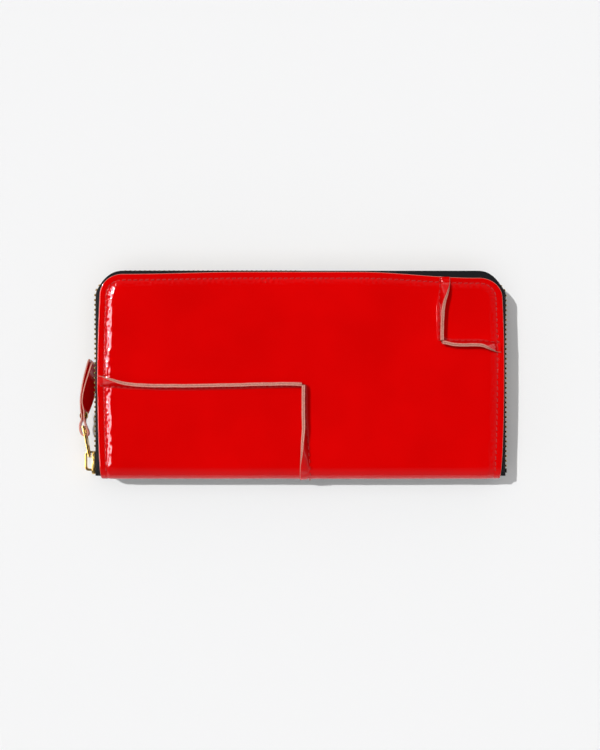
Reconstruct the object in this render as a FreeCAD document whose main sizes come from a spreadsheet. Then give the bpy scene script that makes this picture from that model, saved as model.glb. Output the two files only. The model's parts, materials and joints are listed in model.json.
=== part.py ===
"""A long zip-around wallet in patent leather, closed, lying on its back cover.

Frame: X runs along the spine, +Y from the spine to the far zip run, +Z from the back cover up to the
front cover. The origin is the middle of the back cover's outer face. Lengths are in millimetres.

The wallet is two stiffened covers joined by a soft spine. A zip runs round the three open sides. Inside, a
zipped coin pocket stands on the spine between two sets of card slots, and folded gussets close the ends.
"""

import FreeCAD, Part

import math
import os
import re

import Sketcher

Vector = FreeCAD.Vector
Rotation = FreeCAD.Rotation

DRIVING_SIZES = {
    # covers
    "panel_width": 195.0,
    "panel_height": 100.0,
    "corner_radius": 11.0,
    "total_thickness": 24.0,
    "leather": 1.2,
    "board": 0.8,
    "board_inset": 10.0,
    "lining": 0.5,
    "lining_inset": 2.5,
    "hinge_clear": 3.0,
    # spine: its two rounded edges are the lines that the covers fold about
    "spine_leather": 1.2,
    "spine_lining": 0.5,
    "spine_inset": 1.5,
    "hinge_depth": 2.0,
    "cover_low_gap": 0.4,
    # raised seams of the front cover, which stand up with their cut edges showing
    "low_seam_x": 1.0,
    "low_seam_y": -5.6,
    "high_seam_x": 67.0,
    "high_seam_y": 16.0,
    "flange_height": 4.8,
    "flange_ply": 0.8,
    "flange_fade": 9.0,
    "flange_hold": 3.4,
    # stitching
    "stitch_inset": 3.0,
    "stitch_pitch": 2.8,
    "stitch_length": 2.0,
    "stitch_width": 0.6,
    "groove_width": 1.0,
    "groove_depth": 0.35,
    # main zip
    "tape": 0.6,
    "tape_inside": 6.2,
    "tape_bulge": 3.1,
    "far_drop": 2.0,
    "tape_bend": 6.3,
    "chain_half_gap": 1.4,
    "tape_end": 1.5,
    "tooth_pitch": 2.4,
    "tooth_length": 1.0,
    "tooth_depth": 2.2,
    "tooth_short": 0.35,
    "tooth_grip": 1.4,
    # slider of the main zip and its pull
    "slider_length": 10.0,
    "slider_width": 9.0,
    "slider_plate": 0.9,
    "slider_cavity": 2.5,
    "slider_lip": 0.9,
    "slider_slot": 1.1,
    "slider_neck": 3.4,
    "slider_neck_width": 0.5,
    "slider_start": 2.0,
    "crown_length": 9.8,
    "crown_ply": 1.0,
    "crown_corner": 1.6,
    "crown_width": 2.2,
    "crown_stand": 1.9,
    "crown_rise": 2.45,
    "crown_ahead": 0.2,
    "link_length": 14.9,
    "link_width": 4.4,
    "link_eye_width": 7.4,
    "link_ply": 1.0,
    "link_bar": 1.2,
    "link_window": 6.0,
    "link_eye": 5.4,
    "link_rail": 0.7,
    "link_lean": 12.0,
    "link_ahead": 2.2,
    "pull_droop": 8.5,
    "strap_ply": 1.1,
    "strap_width": 9.0,
    "strap_neck": 4.4,
    "strap_flare_start": 5.0,
    "strap_flare_end": 11.0,
    "strap_corner": 2.5,
    "rivet_x": -0.375,
    "rivet_y": 5.8,
    "rivet_head": 4.0,
    "rivet_shank": 2.0,
    "rivet_cap": 0.6,
    # card slots inside each cover
    "card_ply": 0.5,
    "card_gap": 0.1,
    "card_width": 180.0,
    "card_low": 4.0,
    "card_high": 8.0,
    "card_step": 11.0,
    "card_slots": 4,
    # coin pocket
    "coin_width": 172.0,
    "coin_low": 2.2,
    "coin_high": 17.5,
    "coin_depth": 4.4,
    "coin_wall": 0.8,
    "coin_tape": 0.4,
    "coin_tape_drop": 7.0,
    "coin_pitch": 2.0,
    "coin_tooth": 0.85,
    "coin_tooth_depth": 1.5,
    "coin_chain_gap": 0.75,
    "coin_chain_rise": 2.0,
    "coin_chain_margin": 6.0,
    "coin_slider_length": 7.5,
    "coin_slider_width": 4.2,
    "coin_slider_plate": 0.8,
    "coin_slider_cavity": 1.9,
    "coin_slider_slot": 0.8,
    "coin_slider_neck": 2.4,
    "coin_slider_lip": 0.4,
    "coin_slider_corner": 0.9,
    "coin_crown_inset": 1.5,
    "coin_crown_ply": 0.6,
    "coin_crown_rise": 2.6,
    "coin_crown_corner": 1.0,
    "coin_crown_width": 1.6,
    "coin_tooth_grip": 0.5,
    "coin_tooth_short": 0.3,
    "coin_pull_ply": 0.8,
    "coin_pull_rail": 0.8,
    "coin_pull_pin": 1.0,
    "coin_pull_stand": 0.95,
    "coin_pull_window": 3.7,
    "coin_pull_hole": 2.0,
    "coin_pull_end": 1.2,
    "coin_pull_length": 12.0,
    "coin_pull_width": 4.0,
    # gussets
    "gusset_ply": 0.5,
    "gusset_reach": 24.0,
}

SHEET = "Sizes"
NODES = []

doc = FreeCAD.newDocument("ZipAroundWallet")
sheet = doc.addObject("Spreadsheet::Sheet", SHEET)
for row, (alias, size) in enumerate(DRIVING_SIZES.items(), start=1):
    sheet.set(f"A{row}", alias.replace("_", " "))
    sheet.set(f"B{row}", str(size))
    sheet.setAlias(f"B{row}", alias)
doc.recompute()

ALIAS = re.compile(r"\b(" + "|".join(sorted(DRIVING_SIZES, key=len, reverse=True)) + r")\b")


def cells(text):
    """The expression with each size's name pointing at its cell."""
    return ALIAS.sub(SHEET + r".\1", text)


def number(text):
    """The value of an expression in the sheet's sizes."""
    value = sheet.evalExpression(cells(text))
    return float(getattr(value, "Value", value))


# ---------------------------------------------------------------- sketches and features


def plane_of(body, role):
    """One of the body's own origin planes."""
    return next(f for f in body.Origin.OriginFeatures if f.Role == role)


def new_body(name, x="0", y="0", z="0"):
    """A PartDesign body that is one node, placed by expressions."""
    body = doc.addObject("PartDesign::Body", name)
    body.Label = name
    for axis, text in zip("xyz", (x, y, z)):
        body.setExpression(f"Placement.Base.{axis}", cells(text))
    NODES.append(body)
    return body


def new_sketch(body, role):
    sketch = body.newObject("Sketcher::SketchObject", body.Name + "_sketch")
    sketch.AttachmentSupport = [(plane_of(body, role), "")]
    sketch.MapMode = "FlatFace"
    return sketch


def place_point(sketch, edge, end, x, y):
    """Holds one end of a sketch edge at (x, y), both expressions."""
    for kind, text in (("DistanceX", x), ("DistanceY", y)):
        index = sketch.addConstraint(Sketcher.Constraint(kind, -1, 1, edge, end, number(text)))
        sketch.setExpression(f"Constraints[{index}]", cells(text))


def draw_polygon(sketch, points):
    """A closed polygon through points given as pairs of expressions."""
    first = sketch.GeometryCount
    corners = [Vector(number(x), number(y), 0) for x, y in points]
    count = len(points)
    for i in range(count):
        sketch.addGeometry(Part.LineSegment(corners[i], corners[(i + 1) % count]))
    for i in range(count):
        sketch.addConstraint(Sketcher.Constraint("Coincident", first + i, 2, first + (i + 1) % count, 1))
    for i, (x, y) in enumerate(points):
        place_point(sketch, first + i, 1, x, y)


def draw_arch(sketch, half_width, low, high, radius, closed=True):
    """A shape with square lower and round upper corners: up the left, over the top and down the right."""
    first = sketch.GeometryCount
    w, b, t, r = (number(text) for text in (half_width, low, high, radius))
    quarter = math.pi / 2
    up = Vector(0, 0, 1)
    sketch.addGeometry(Part.LineSegment(Vector(-w, b, 0), Vector(-w, t - r, 0)))
    sketch.addGeometry(Part.ArcOfCircle(Part.Circle(Vector(r - w, t - r, 0), up, r), quarter, 2 * quarter))
    sketch.addGeometry(Part.LineSegment(Vector(r - w, t, 0), Vector(w - r, t, 0)))
    sketch.addGeometry(Part.ArcOfCircle(Part.Circle(Vector(w - r, t - r, 0), up, r), 0, quarter))
    sketch.addGeometry(Part.LineSegment(Vector(w, t - r, 0), Vector(w, b, 0)))
    left, left_arc, top, right_arc, right = range(first, first + 5)
    joints = ((left, 2, left_arc, 2), (left_arc, 1, top, 1), (top, 2, right_arc, 2), (right_arc, 1, right, 1))
    for joint in joints:
        sketch.addConstraint(Sketcher.Constraint("Tangent", *joint))
    for upright in (left, right):
        sketch.addConstraint(Sketcher.Constraint("Vertical", upright))
    sketch.addConstraint(Sketcher.Constraint("Horizontal", top))
    place_point(sketch, left, 1, f"-({half_width})", low)
    place_point(sketch, right, 2, half_width, low)
    index = sketch.addConstraint(Sketcher.Constraint("DistanceY", -1, 1, top, 1, t))
    sketch.setExpression(f"Constraints[{index}]", cells(high))
    for arc in (left_arc, right_arc):
        index = sketch.addConstraint(Sketcher.Constraint("Radius", arc, r))
        sketch.setExpression(f"Constraints[{index}]", cells(radius))
    if closed:
        sketch.addGeometry(Part.LineSegment(Vector(w, b, 0), Vector(-w, b, 0)))
        sketch.addConstraint(Sketcher.Constraint("Coincident", right, 2, first + 5, 1))
        sketch.addConstraint(Sketcher.Constraint("Coincident", first + 5, 2, left, 1))


def add_pad(body, sketch, length, reverse=False, both_ways=False):
    pad = body.newObject("PartDesign::Pad", body.Name + "_pad")
    pad.Profile = sketch
    pad.setExpression("Length", cells(length))
    pad.Reversed = reverse
    pad.SideType = "Symmetric" if both_ways else "One side"
    sketch.Visibility = False
    return pad


def add_pocket(body, sketch, length, reverse=False, both_ways=False):
    """A cut whose direction is checked: it has to take material away."""
    doc.recompute()
    before = body.Shape.Volume
    pocket = body.newObject("PartDesign::Pocket", body.Name + "_pocket")
    pocket.Profile = sketch
    pocket.setExpression("Length", cells(length))
    pocket.Reversed = reverse
    pocket.SideType = "Symmetric" if both_ways else "One side"
    sketch.Visibility = False
    doc.recompute()
    if not body.Shape.Volume < before - 1e-6:
        raise RuntimeError(f"{body.Label}: a pocket cut nothing")
    return pocket


def plate(name, points, thickness, z):
    """A flat sheet with a polygon outline, lying at height z."""
    body = new_body(name, z=z)
    sketch = new_sketch(body, "XY_Plane")
    draw_polygon(sketch, points)
    add_pad(body, sketch, thickness)
    return body


def arched_plate(name, inset, low, thickness, z):
    """A flat sheet inside the covers' outline, at an even distance from its edge."""
    body = new_body(name, z=z)
    sketch = new_sketch(body, "XY_Plane")
    draw_arch(sketch, f"panel_width/2-{inset}", low, f"panel_height/2-{inset}", f"corner_radius-{inset}")
    add_pad(body, sketch, thickness)
    return body


def cut_stitch_groove(body, z, reverse):
    """The shallow channel that the edge stitching lies in. z is its open side, in the body's own frame."""
    sketch = new_sketch(body, "XY_Plane")
    sketch.AttachmentOffset = FreeCAD.Placement(Vector(0, 0, number(z)), Rotation())
    sketch.setExpression("AttachmentOffset.Base.z", cells(z))
    for side in ("+groove_width/2", "-groove_width/2"):
        inset = f"(stitch_inset{side})"
        low = "-panel_height/2+stitch_inset" if side[0] == "+" else "-panel_height/2+stitch_inset-0.5"
        draw_arch(
            sketch,
            f"panel_width/2-{inset}",
            low,
            f"panel_height/2-{inset}",
            f"corner_radius-{inset}",
        )
    add_pocket(body, sketch, "groove_depth", reverse=reverse)


def shaped_feature(name, shape):
    """A node whose shape is made with Part's own functions."""
    feature = doc.addObject("Part::Feature", name)
    feature.Label = name
    feature.Shape = shape
    NODES.append(feature)
    return feature


def box_between(low, high):
    """A solid box from one corner to the other."""
    low, high = Vector(*low), Vector(*high)
    size = high - low
    return Part.makeBox(size.x, size.y, size.z, low)


# ---------------------------------------------------------------- covers

LOW = "-panel_height/2"
LINING_LOW = f"({LOW}+hinge_clear)"


def make_board_and_lining(side, front):
    """The stiffener board and the lining of one cover, stacked on the leather."""
    board_z = "total_thickness-leather-board" if front else "leather"
    lining_z = "total_thickness-leather-board-lining" if front else "leather+board"
    arched_plate(f"{side}_stiffener_board", "board_inset", LINING_LOW, "board", board_z)
    arched_plate(f"{side}_cover_lining", "lining_inset", LINING_LOW, "lining", lining_z)


def make_back_cover():
    """The back leather is one plain panel, with the stitch channel on its outer face."""
    panel = arched_plate("back_leather_panel", "0", f"{LOW}+cover_low_gap", "leather", "0")
    cut_stitch_groove(panel, "0", reverse=True)
    make_board_and_lining("back", front=False)


def flange_profile(start, end, fade_start, fade_end):
    """The outline of a standing seam seen from its side: full height, sloping to nothing at a held end."""
    rise = "leather+flange_height"
    points = [(start, "0"), (end, "0")]
    points += [(end, "leather+0.2"), (f"{end}-({fade_end})", rise)] if fade_end else [(end, rise)]
    points += [(f"{start}+({fade_start})", rise), (start, "leather+0.2")] if fade_start else [(start, rise)]
    return points


def add_flange(body, along, at, side, profile):
    """A ply of the leather turned up along a seam: along is the row axis it follows, side where it stands."""
    sketch = new_sketch(body, "YZ_Plane" if along == "y" else "XZ_Plane")
    # the XZ plane faces -Y, so there an offset along the sketch's normal has the other sign
    offset = at if along == "y" else f"-({at})"
    sketch.setExpression("AttachmentOffset.Base.z", cells(offset))
    draw_polygon(sketch, profile)
    turned = side < 0 if along == "y" else side > 0
    add_pad(body, sketch, "flange_ply", reverse=turned)


def make_front_cover():
    """Three leather pieces: the main panel and two corner patches. Their edges meet in raised seams."""
    z = "total_thickness-leather"
    half = "panel_width/2"
    low_edge = f"{LOW}+cover_low_gap"
    main = new_body("front_main_leather", z=z)
    sketch = new_sketch(main, "XY_Plane")
    draw_arch(sketch, half, low_edge, "panel_height/2", "corner_radius")
    add_pad(main, sketch, "leather")
    for low_x, high_x, low_y, high_y in (
        (f"-{half}-1", "low_seam_x", f"{LOW}-1", "low_seam_y"),
        ("high_seam_x", f"{half}+1", "high_seam_y", "panel_height/2+1"),
    ):
        sketch = new_sketch(main, "XY_Plane")
        draw_polygon(sketch, [(low_x, low_y), (high_x, low_y), (high_x, high_y), (low_x, high_y)])
        add_pocket(main, sketch, "leather", reverse=True)
    fade = "flange_fade"
    low_upright = flange_profile(low_edge, "low_seam_y-0.4", fade, "")
    low_level = flange_profile(f"-{half}+flange_hold", "low_seam_x-0.4", fade, "")
    high_upright = flange_profile("high_seam_y+0.4", "panel_height/2-flange_hold", "", fade)
    high_level = flange_profile("high_seam_x+0.4", f"{half}-flange_hold", "", fade)
    add_flange(main, "y", "low_seam_x", 1, low_upright)
    add_flange(main, "x", "low_seam_y", 1, low_level)
    add_flange(main, "y", "high_seam_x", -1, high_upright)
    add_flange(main, "x", "high_seam_y", -1, high_level)
    doc.recompute()
    cut_stitch_groove(main, "leather", reverse=False)

    low_patch = new_body("front_low_patch_leather", z=z)
    sketch = new_sketch(low_patch, "XY_Plane")
    corners = [(f"-{half}", low_edge), ("low_seam_x", low_edge)]
    corners += [("low_seam_x", "low_seam_y"), (f"-{half}", "low_seam_y")]
    draw_polygon(sketch, corners)
    add_pad(low_patch, sketch, "leather")
    add_flange(low_patch, "y", "low_seam_x", -1, low_upright)
    add_flange(low_patch, "x", "low_seam_y", -1, low_level)
    doc.recompute()
    cut_stitch_groove(low_patch, "leather", reverse=False)

    high_patch = new_body("front_high_patch_leather", z=z)
    sketch = new_sketch(high_patch, "XY_Plane")
    draw_arch(sketch, half, low_edge, "panel_height/2", "corner_radius")
    add_pad(high_patch, sketch, "leather")
    sketch = new_sketch(high_patch, "XY_Plane")
    away = [(f"-{half}-1", f"{LOW}-1"), (f"{half}+1", f"{LOW}-1"), (f"{half}+1", "high_seam_y")]
    away += [("high_seam_x", "high_seam_y"), ("high_seam_x", "panel_height/2+1")]
    away += [(f"-{half}-1", "panel_height/2+1")]
    draw_polygon(sketch, away)
    add_pocket(high_patch, sketch, "leather", reverse=True)
    add_flange(high_patch, "y", "high_seam_x", 1, high_upright)
    add_flange(high_patch, "x", "high_seam_y", 1, high_level)
    doc.recompute()
    cut_stitch_groove(high_patch, "leather", reverse=False)
    make_board_and_lining("front", front=True)


# ---------------------------------------------------------------- spine


def draw_stadium(sketch, low_x, high_x, low, high):
    """An upright slot shape: two sides from low to high, joined by a half circle at each end."""
    first = sketch.GeometryCount
    left, right, b, t = (number(text) for text in (low_x, high_x, low, high))
    middle, r = (left + right) / 2, (right - left) / 2
    up = Vector(0, 0, 1)
    sketch.addGeometry(Part.LineSegment(Vector(left, b, 0), Vector(left, t, 0)))
    sketch.addGeometry(Part.ArcOfCircle(Part.Circle(Vector(middle, t, 0), up, r), 0, math.pi))
    sketch.addGeometry(Part.LineSegment(Vector(right, t, 0), Vector(right, b, 0)))
    sketch.addGeometry(Part.ArcOfCircle(Part.Circle(Vector(middle, b, 0), up, r), math.pi, 2 * math.pi))
    left_side, top, right_side, bottom = range(first, first + 4)
    for joint in (
        (left_side, 2, top, 2),
        (top, 1, right_side, 1),
        (right_side, 2, bottom, 2),
        (bottom, 1, left_side, 1),
    ):
        sketch.addConstraint(Sketcher.Constraint("Tangent", *joint))
    for side in (left_side, right_side):
        sketch.addConstraint(Sketcher.Constraint("Vertical", side))
    place_point(sketch, left_side, 1, low_x, low)
    for kind, edge, end, text in (("DistanceY", left_side, 2, high), ("DistanceX", right_side, 1, high_x)):
        index = sketch.addConstraint(Sketcher.Constraint(kind, -1, 1, edge, end, number(text)))
        sketch.setExpression(f"Constraints[{index}]", cells(text))


def make_spine():
    """The outer leather changes at the raised seam, as on the front, and the lining backs both pieces.

    The leather's edges are full round, and the covers turn about the middles of those rounds.
    """
    edge = "(panel_width/2-spine_inset)"
    outer, inner = LOW, f"({LOW}+spine_leather)"
    for name, low_x, high_x in (
        ("spine_main_leather", "low_seam_x", edge),
        ("spine_patch_leather", f"-{edge}", "low_seam_x"),
    ):
        body = new_body(name, x=low_x)
        sketch = new_sketch(body, "YZ_Plane")
        draw_stadium(sketch, outer, inner, "hinge_depth", "total_thickness-hinge_depth")
        add_pad(body, sketch, f"{high_x}-({low_x})")
    body = new_body("spine_lining", x="-coin_width/2")
    sketch = new_sketch(body, "YZ_Plane")
    face, low, high = f"({inner}+spine_lining)", "hinge_depth+1", "total_thickness-hinge_depth-1"
    draw_polygon(sketch, [(inner, low), (face, low), (face, high), (inner, high)])
    add_pad(body, sketch, "coin_width")


# ---------------------------------------------------------------- stitching


def edge_path(out, drop=0.0):
    """A function from distance to (point, heading in degrees) along the covers' edge, and its length.

    The path lies out beyond the edge: up the left side, over the far side and down the right side. The far
    side is drop nearer the spine than it would be.
    """
    half, top = number("panel_width/2") + out, number("panel_height/2") + out - drop
    low, r = number(LOW), number("corner_radius") + out
    side, far, bend = top - r - low, 2 * (half - r), r * math.pi / 2

    def at(s):
        if s < side:
            return Vector(-half, low + s, 0), 90.0
        s -= side
        if s < bend:
            turn = s / r
            point = Vector(r - half - r * math.cos(turn), top - r + r * math.sin(turn), 0)
            return point, 90 - math.degrees(turn)
        s -= bend
        if s < far:
            return Vector(r - half + s, top, 0), 0.0
        s -= far
        if s < bend:
            turn = s / r
            return Vector(half - r + r * math.sin(turn), top - r + r * math.cos(turn), 0), -math.degrees(turn)
        s -= bend
        return Vector(half, top - r - s, 0), -90.0

    return at, 2 * side + 2 * bend + far


def along_path(at, distances, shape):
    """Copies of a shape made along +X, set down along a path and turned to follow it."""
    copies = []
    for s in distances:
        point, heading = at(s)
        place = FreeCAD.Placement(point, Rotation(Vector(0, 0, 1), heading))
        copies.append(shape.transformed(place.toMatrix()))
    return Part.makeCompound(copies)


def evenly(start, end, pitch):
    """Distances from start to end, as near to the pitch as divides the length evenly."""
    count = max(1, round((end - start) / pitch))
    return [start + (end - start) * i / count for i in range(count + 1)]


def make_stitching():
    """Separate stitches lying in the channels of both covers, and along the foot of the raised seams."""
    length, width = number("stitch_length"), number("stitch_width")
    depth = number("groove_depth")
    at, total = edge_path(-number("stitch_inset"))
    start = number("stitch_inset") + length / 2 + 0.2
    distances = evenly(start, total - start, number("stitch_pitch"))
    front = number("total_thickness") - depth
    for name, z in (("back_edge_stitching", 0.0), ("front_edge_stitching", front)):
        stitch = box_between((-length / 2, -width / 2, z), (length / 2, width / 2, z + depth))
        shaped_feature(name, along_path(at, distances, stitch))
    make_seam_stitching(length)


def make_seam_stitching(length):
    """One thread through both plies of each raised seam: it shows as a short stitch on both faces."""
    ply, thread = number("flange_ply"), 0.3
    foot = number("total_thickness") + 0.7
    low_x, low_y = number("low_seam_x"), number("low_seam_y")
    high_x, high_y = number("high_seam_x"), number("high_seam_y")
    margin = number("flange_fade") + 2
    pitch = number("stitch_pitch")
    half_width, half_height = number("panel_width/2"), number("panel_height/2")
    stitches = []
    runs = ((low_x, margin - half_height, low_y - 3), (high_x, high_y + 3, half_height - margin))
    for x, start, end in runs:
        for y in evenly(start, end, pitch):
            for face in (x - ply - thread, x + ply):
                low = (face, y - length / 2, foot)
                stitches.append(box_between(low, (face + thread, y + length / 2, foot + 0.5)))
    for y, start, end in ((low_y, margin - half_width, low_x - 3), (high_y, high_x + 3, half_width - margin)):
        for x in evenly(start, end, pitch):
            for face in (y - ply - thread, y + ply):
                low = (x - length / 2, face, foot)
                stitches.append(box_between(low, (x + length / 2, face + thread, foot + 0.5)))
    shaped_feature("raised_seam_stitching", Part.makeCompound(stitches))


# ---------------------------------------------------------------- main zip


def make_zip_tape(name, front):
    """One cloth tape: flat under the cover's edge, then out and round to the middle of the side."""

    def height(text):
        return f"total_thickness-({text})" if front else text

    middle = "total_thickness/2-chain_half_gap"
    body = new_body(name, y=f"{LOW}+tape_end")
    path = new_sketch(body, "XY_Plane")
    high = "panel_height-tape_end-far_drop"
    draw_arch(path, "panel_width/2", "0", high, "corner_radius", closed=False)
    section = new_sketch(body, "XZ_Plane")
    edge = "-panel_width/2"
    centre = f"{edge}-tape_bulge"
    draw_polygon(
        section,
        [
            (f"{edge}+tape_inside", height("leather")),
            (f"{edge}-0.1", height("leather")),
            (f"{centre}-tape/2", height("tape_bend")),
            (f"{centre}-tape/2", height(middle)),
            (f"{centre}+tape/2", height(middle)),
            (f"{centre}+tape/2", height("tape_bend+0.15")),
            (f"{edge}+0.15", height("leather+tape")),
            (f"{edge}+tape_inside", height("leather+tape")),
        ],
    )
    doc.recompute()
    pipe = body.newObject("PartDesign::AdditivePipe", name + "_pipe")
    pipe.Profile = section
    pipe.Spine = (path, [f"Edge{i}" for i in range(1, 6)])
    pipe.Mode = "Standard"
    for sketch in (path, section):
        sketch.Visibility = False


def tooth_outline(depth, grip, short, gap, tape):
    """Half a zip tooth's section: jaws over the tape's edge, then a head that stops short of the middle."""
    side, slot, foot = depth / 2, tape / 2, -gap
    head = gap - short
    return [
        (-side, foot - grip),
        (-slot, foot - grip),
        (-slot, foot),
        (slot, foot),
        (slot, foot - grip),
        (side, foot - grip),
        (side, foot),
        (side * 0.8, foot + head * 0.6),
        (side * 0.5, foot + head),
        (-side * 0.5, foot + head),
        (-side * 0.8, foot + head * 0.6),
        (-side, foot),
    ]


def tooth_solid(outline, length, middle, sign):
    """A tooth whose head points along sign times Z, with its thickness along X."""
    points = [Vector(-length / 2, across, middle + sign * up) for across, up in outline]
    face = Part.Face(Part.makePolygon(points + points[:1]))
    return face.extrude(Vector(length, 0, 0))


def make_zip_teeth():
    """Two rows of teeth along the middle of the open sides, each half a pitch from the other.

    The heads stop just short of the middle, which leaves the slider's neck its way between the rows. The
    front row starts past the slider, because the slider stays on the back tape when the covers part.
    """
    outline = tooth_outline(
        number("tooth_depth"),
        number("tooth_grip"),
        number("tooth_short"),
        number("chain_half_gap"),
        number("tape"),
    )
    at, total = edge_path(number("tape_bulge"), number("far_drop"))
    middle, length = number("total_thickness/2"), number("tooth_length")
    start = number("slider_start+slider_neck") + length
    end = total - number("slider_start") - 3
    past_slider = number("slider_start+slider_length") + length
    half_pitches = evenly(start, end, number("tooth_pitch") / 2)
    front = [s for s in half_pitches[1::2] if s > past_slider]
    for name, distances, sign in (("back_zip_teeth", half_pitches[0::2], 1), ("front_zip_teeth", front, -1)):
        shaped_feature(name, along_path(at, distances, tooth_solid(outline, length, middle, sign)))
    make_zip_stops(at, total, middle)


def make_zip_stops(at, total, middle):
    """A metal clip on each tape's edge past the last tooth of the far end. The slider can't run off it."""
    gap, tape, depth = number("chain_half_gap"), number("tape"), number("tooth_depth")
    s = total - number("slider_start") - 0.6
    for name, sign in (("back_zip_stop", 1), ("front_zip_stop", -1)):
        points = [(-depth / 2, -gap - 1.6), (-tape / 2, -gap - 1.6), (-tape / 2, -gap), (tape / 2, -gap)]
        points += [(tape / 2, -gap - 1.6), (depth / 2, -gap - 1.6), (depth / 2, -0.15), (-depth / 2, -0.15)]
        shaped_feature(name, along_path(at, [s], tooth_solid(points, 2.0, middle, sign)))


CHAIN_X = "(-panel_width/2-tape_bulge)"
SLIDER_LOW = f"({LOW}+slider_start)"


def slider_section(width, plate_ply, cavity, lip, slot, neck):
    """The section of a slider through its neck: two plates with turned-in lips, joined by the neck."""
    outer, room, mouth = f"({cavity}/2+{plate_ply})", f"{cavity}/2", f"{slot}/2"
    edge, lip_at, web = f"{width}/2", f"({width}/2-{lip})", f"{neck}/2"
    quarter = [(outer, edge), (mouth, edge), (mouth, lip_at), (room, lip_at), (room, web)]
    other = [(f"-({x})", y) for x, y in reversed(quarter)]
    upper = quarter + other
    return upper + [(x, f"-({y})") for x, y in reversed(upper)]


def cut_plate_corners(body, role, length, width, cut, depth):
    """Takes the four plan corners off a slider's plates."""
    sketch = new_sketch(body, role)
    for side in ("", "-"):
        edge, past = f"{side}({width}/2-{cut})", f"{side}({width}/2+0.2)"
        draw_polygon(sketch, [("-0.2", edge), (f"{cut}", past), ("-0.2", past)])
        draw_polygon(sketch, [(f"{length}+0.2", edge), (f"{length}+0.2", past), (f"{length}-{cut}", past)])
    add_pocket(body, sketch, depth, both_ways=True)


def make_slider():
    """The slider runs on the left side. Its plates face out and in, and its neck parts the rows of teeth."""
    body = new_body("zip_slider_body", x=CHAIN_X, y=SLIDER_LOW, z="total_thickness/2")
    sketch = new_sketch(body, "XZ_Plane")
    section = slider_section(
        "slider_width", "slider_plate", "slider_cavity", "slider_lip", "slider_slot", "slider_neck_width"
    )
    draw_polygon(sketch, section)
    add_pad(body, sketch, "slider_length", reverse=True)
    doc.recompute()
    channel = new_sketch(body, "XZ_Plane")
    channel.setExpression("AttachmentOffset.Base.z", cells("-slider_length"))
    room, lip_at = "slider_cavity/2", "(slider_width/2-slider_lip)"
    corners = [(f"-{room}", f"-{lip_at}"), (room, f"-{lip_at}"), (room, lip_at), (f"-{room}", lip_at)]
    draw_polygon(channel, corners)
    add_pocket(body, channel, "slider_length-slider_neck", reverse=True)
    cut_plate_corners(body, "YZ_Plane", "slider_length", "slider_width", "1.5", "10")


PLATE_X = f"({CHAIN_X}-slider_cavity/2-slider_plate)"
CROWN_Y = f"({SLIDER_LOW}+slider_length/2+crown_ahead)"
PIVOT_X = f"({PLATE_X}-crown_stand)"
PIVOT_Y = f"({CROWN_Y}+link_ahead)"


def crown_outline(length, ply, top, radius):
    """The points of an arched band, its round corners drawn as short chamfers."""
    half = f"{length}/2"
    cut, inner_cut = radius, f"({radius}-{ply}*0.5)"
    outer = [(f"-{half}", "0"), (f"-{half}", f"{top}-{cut}"), (f"-{half}+{cut}*0.3", f"{top}-{cut}*0.3")]
    outer += [(f"-{half}+{cut}", top)]
    outer += [(f"-({x})", y) for x, y in reversed(outer)]
    inner_half, inner_top = f"({half}-{ply})", f"({top}-{ply})"
    inner = [(inner_half, "0"), (inner_half, f"{inner_top}-{inner_cut}")]
    inner += [(f"{inner_half}-{inner_cut}*0.3", f"{inner_top}-{inner_cut}*0.3")]
    inner += [(f"{inner_half}-{inner_cut}", inner_top)]
    inner += [(f"-({x})", y) for x, y in reversed(inner)]
    return outer + inner


def make_main_crown():
    """The main slider's crown stands out of its outer plate, towards -X."""
    body = new_body("zip_slider_crown", x=PLATE_X, y=CROWN_Y, z="total_thickness/2")
    body.Placement.Rotation = Rotation(Vector(0, 0, 1), 90.0)
    sketch = new_sketch(body, "XY_Plane")
    height = "(crown_stand+crown_rise)"
    draw_polygon(sketch, crown_outline("crown_length", "crown_ply", height, "crown_corner"))
    add_pad(body, sketch, "crown_width", both_ways=True)


def pull_turn():
    """How the whole pull hangs down from the crown, until the strap's end is near the table."""
    return Rotation(Vector(1, 0, 0), -number("pull_droop"))


def link_turn():
    """The link also leans away from the zip."""
    return pull_turn().multiply(Rotation(Vector(0, 0, 1), number("link_lean")))


def make_pull_link():
    """A flat brass link. One end's bar hangs inside the crown, and the strap is folded through the other."""
    body = new_body("zip_pull_link", x=PIVOT_X, y=PIVOT_Y, z="total_thickness/2")
    body.Placement.Rotation = link_turn()

    def side(at, rail):
        return f"((link_width+(link_eye_width-link_width)*({at})/link_length)/2-{rail})"

    def draw_link_span(sketch, low, high, rail):
        points = [(low, side(low, rail)), (high, side(high, rail))]
        draw_polygon(sketch, points + [(at, f"-{half}") for at, half in reversed(points)])

    sketch = new_sketch(body, "YZ_Plane")
    draw_link_span(sketch, "0", "link_length", "0")
    add_pad(body, sketch, "link_ply", both_ways=True)
    for low, high in (
        ("link_bar/2", "link_bar/2+link_window"),
        ("link_length-link_bar/2-link_eye", "link_length-link_bar/2"),
    ):
        sketch = new_sketch(body, "YZ_Plane")
        draw_link_span(sketch, low, high, "link_rail")
        add_pocket(body, sketch, "link_ply+1", both_ways=True)
    for centre, width in (("0", "link_width"), ("link_length", "link_eye_width")):
        sketch = new_sketch(body, "XY_Plane")
        sketch.addGeometry(Part.Circle(Vector(0, number(centre), 0), Vector(0, 0, 1), number("link_bar/2")))
        place_point(sketch, 0, 3, "0", centre)
        index = sketch.addConstraint(Sketcher.Constraint("Radius", 0, number("link_bar/2")))
        sketch.setExpression(f"Constraints[{index}]", cells("link_bar/2"))
        add_pad(body, sketch, width, both_ways=True)


def eye_point():
    """The middle of the link's far bar, which the strap hangs on."""
    pivot = Vector(number(PIVOT_X), number(PIVOT_Y), number("total_thickness/2"))
    return pivot + link_turn().multVec(Vector(0, number("link_length"), 0))


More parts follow.
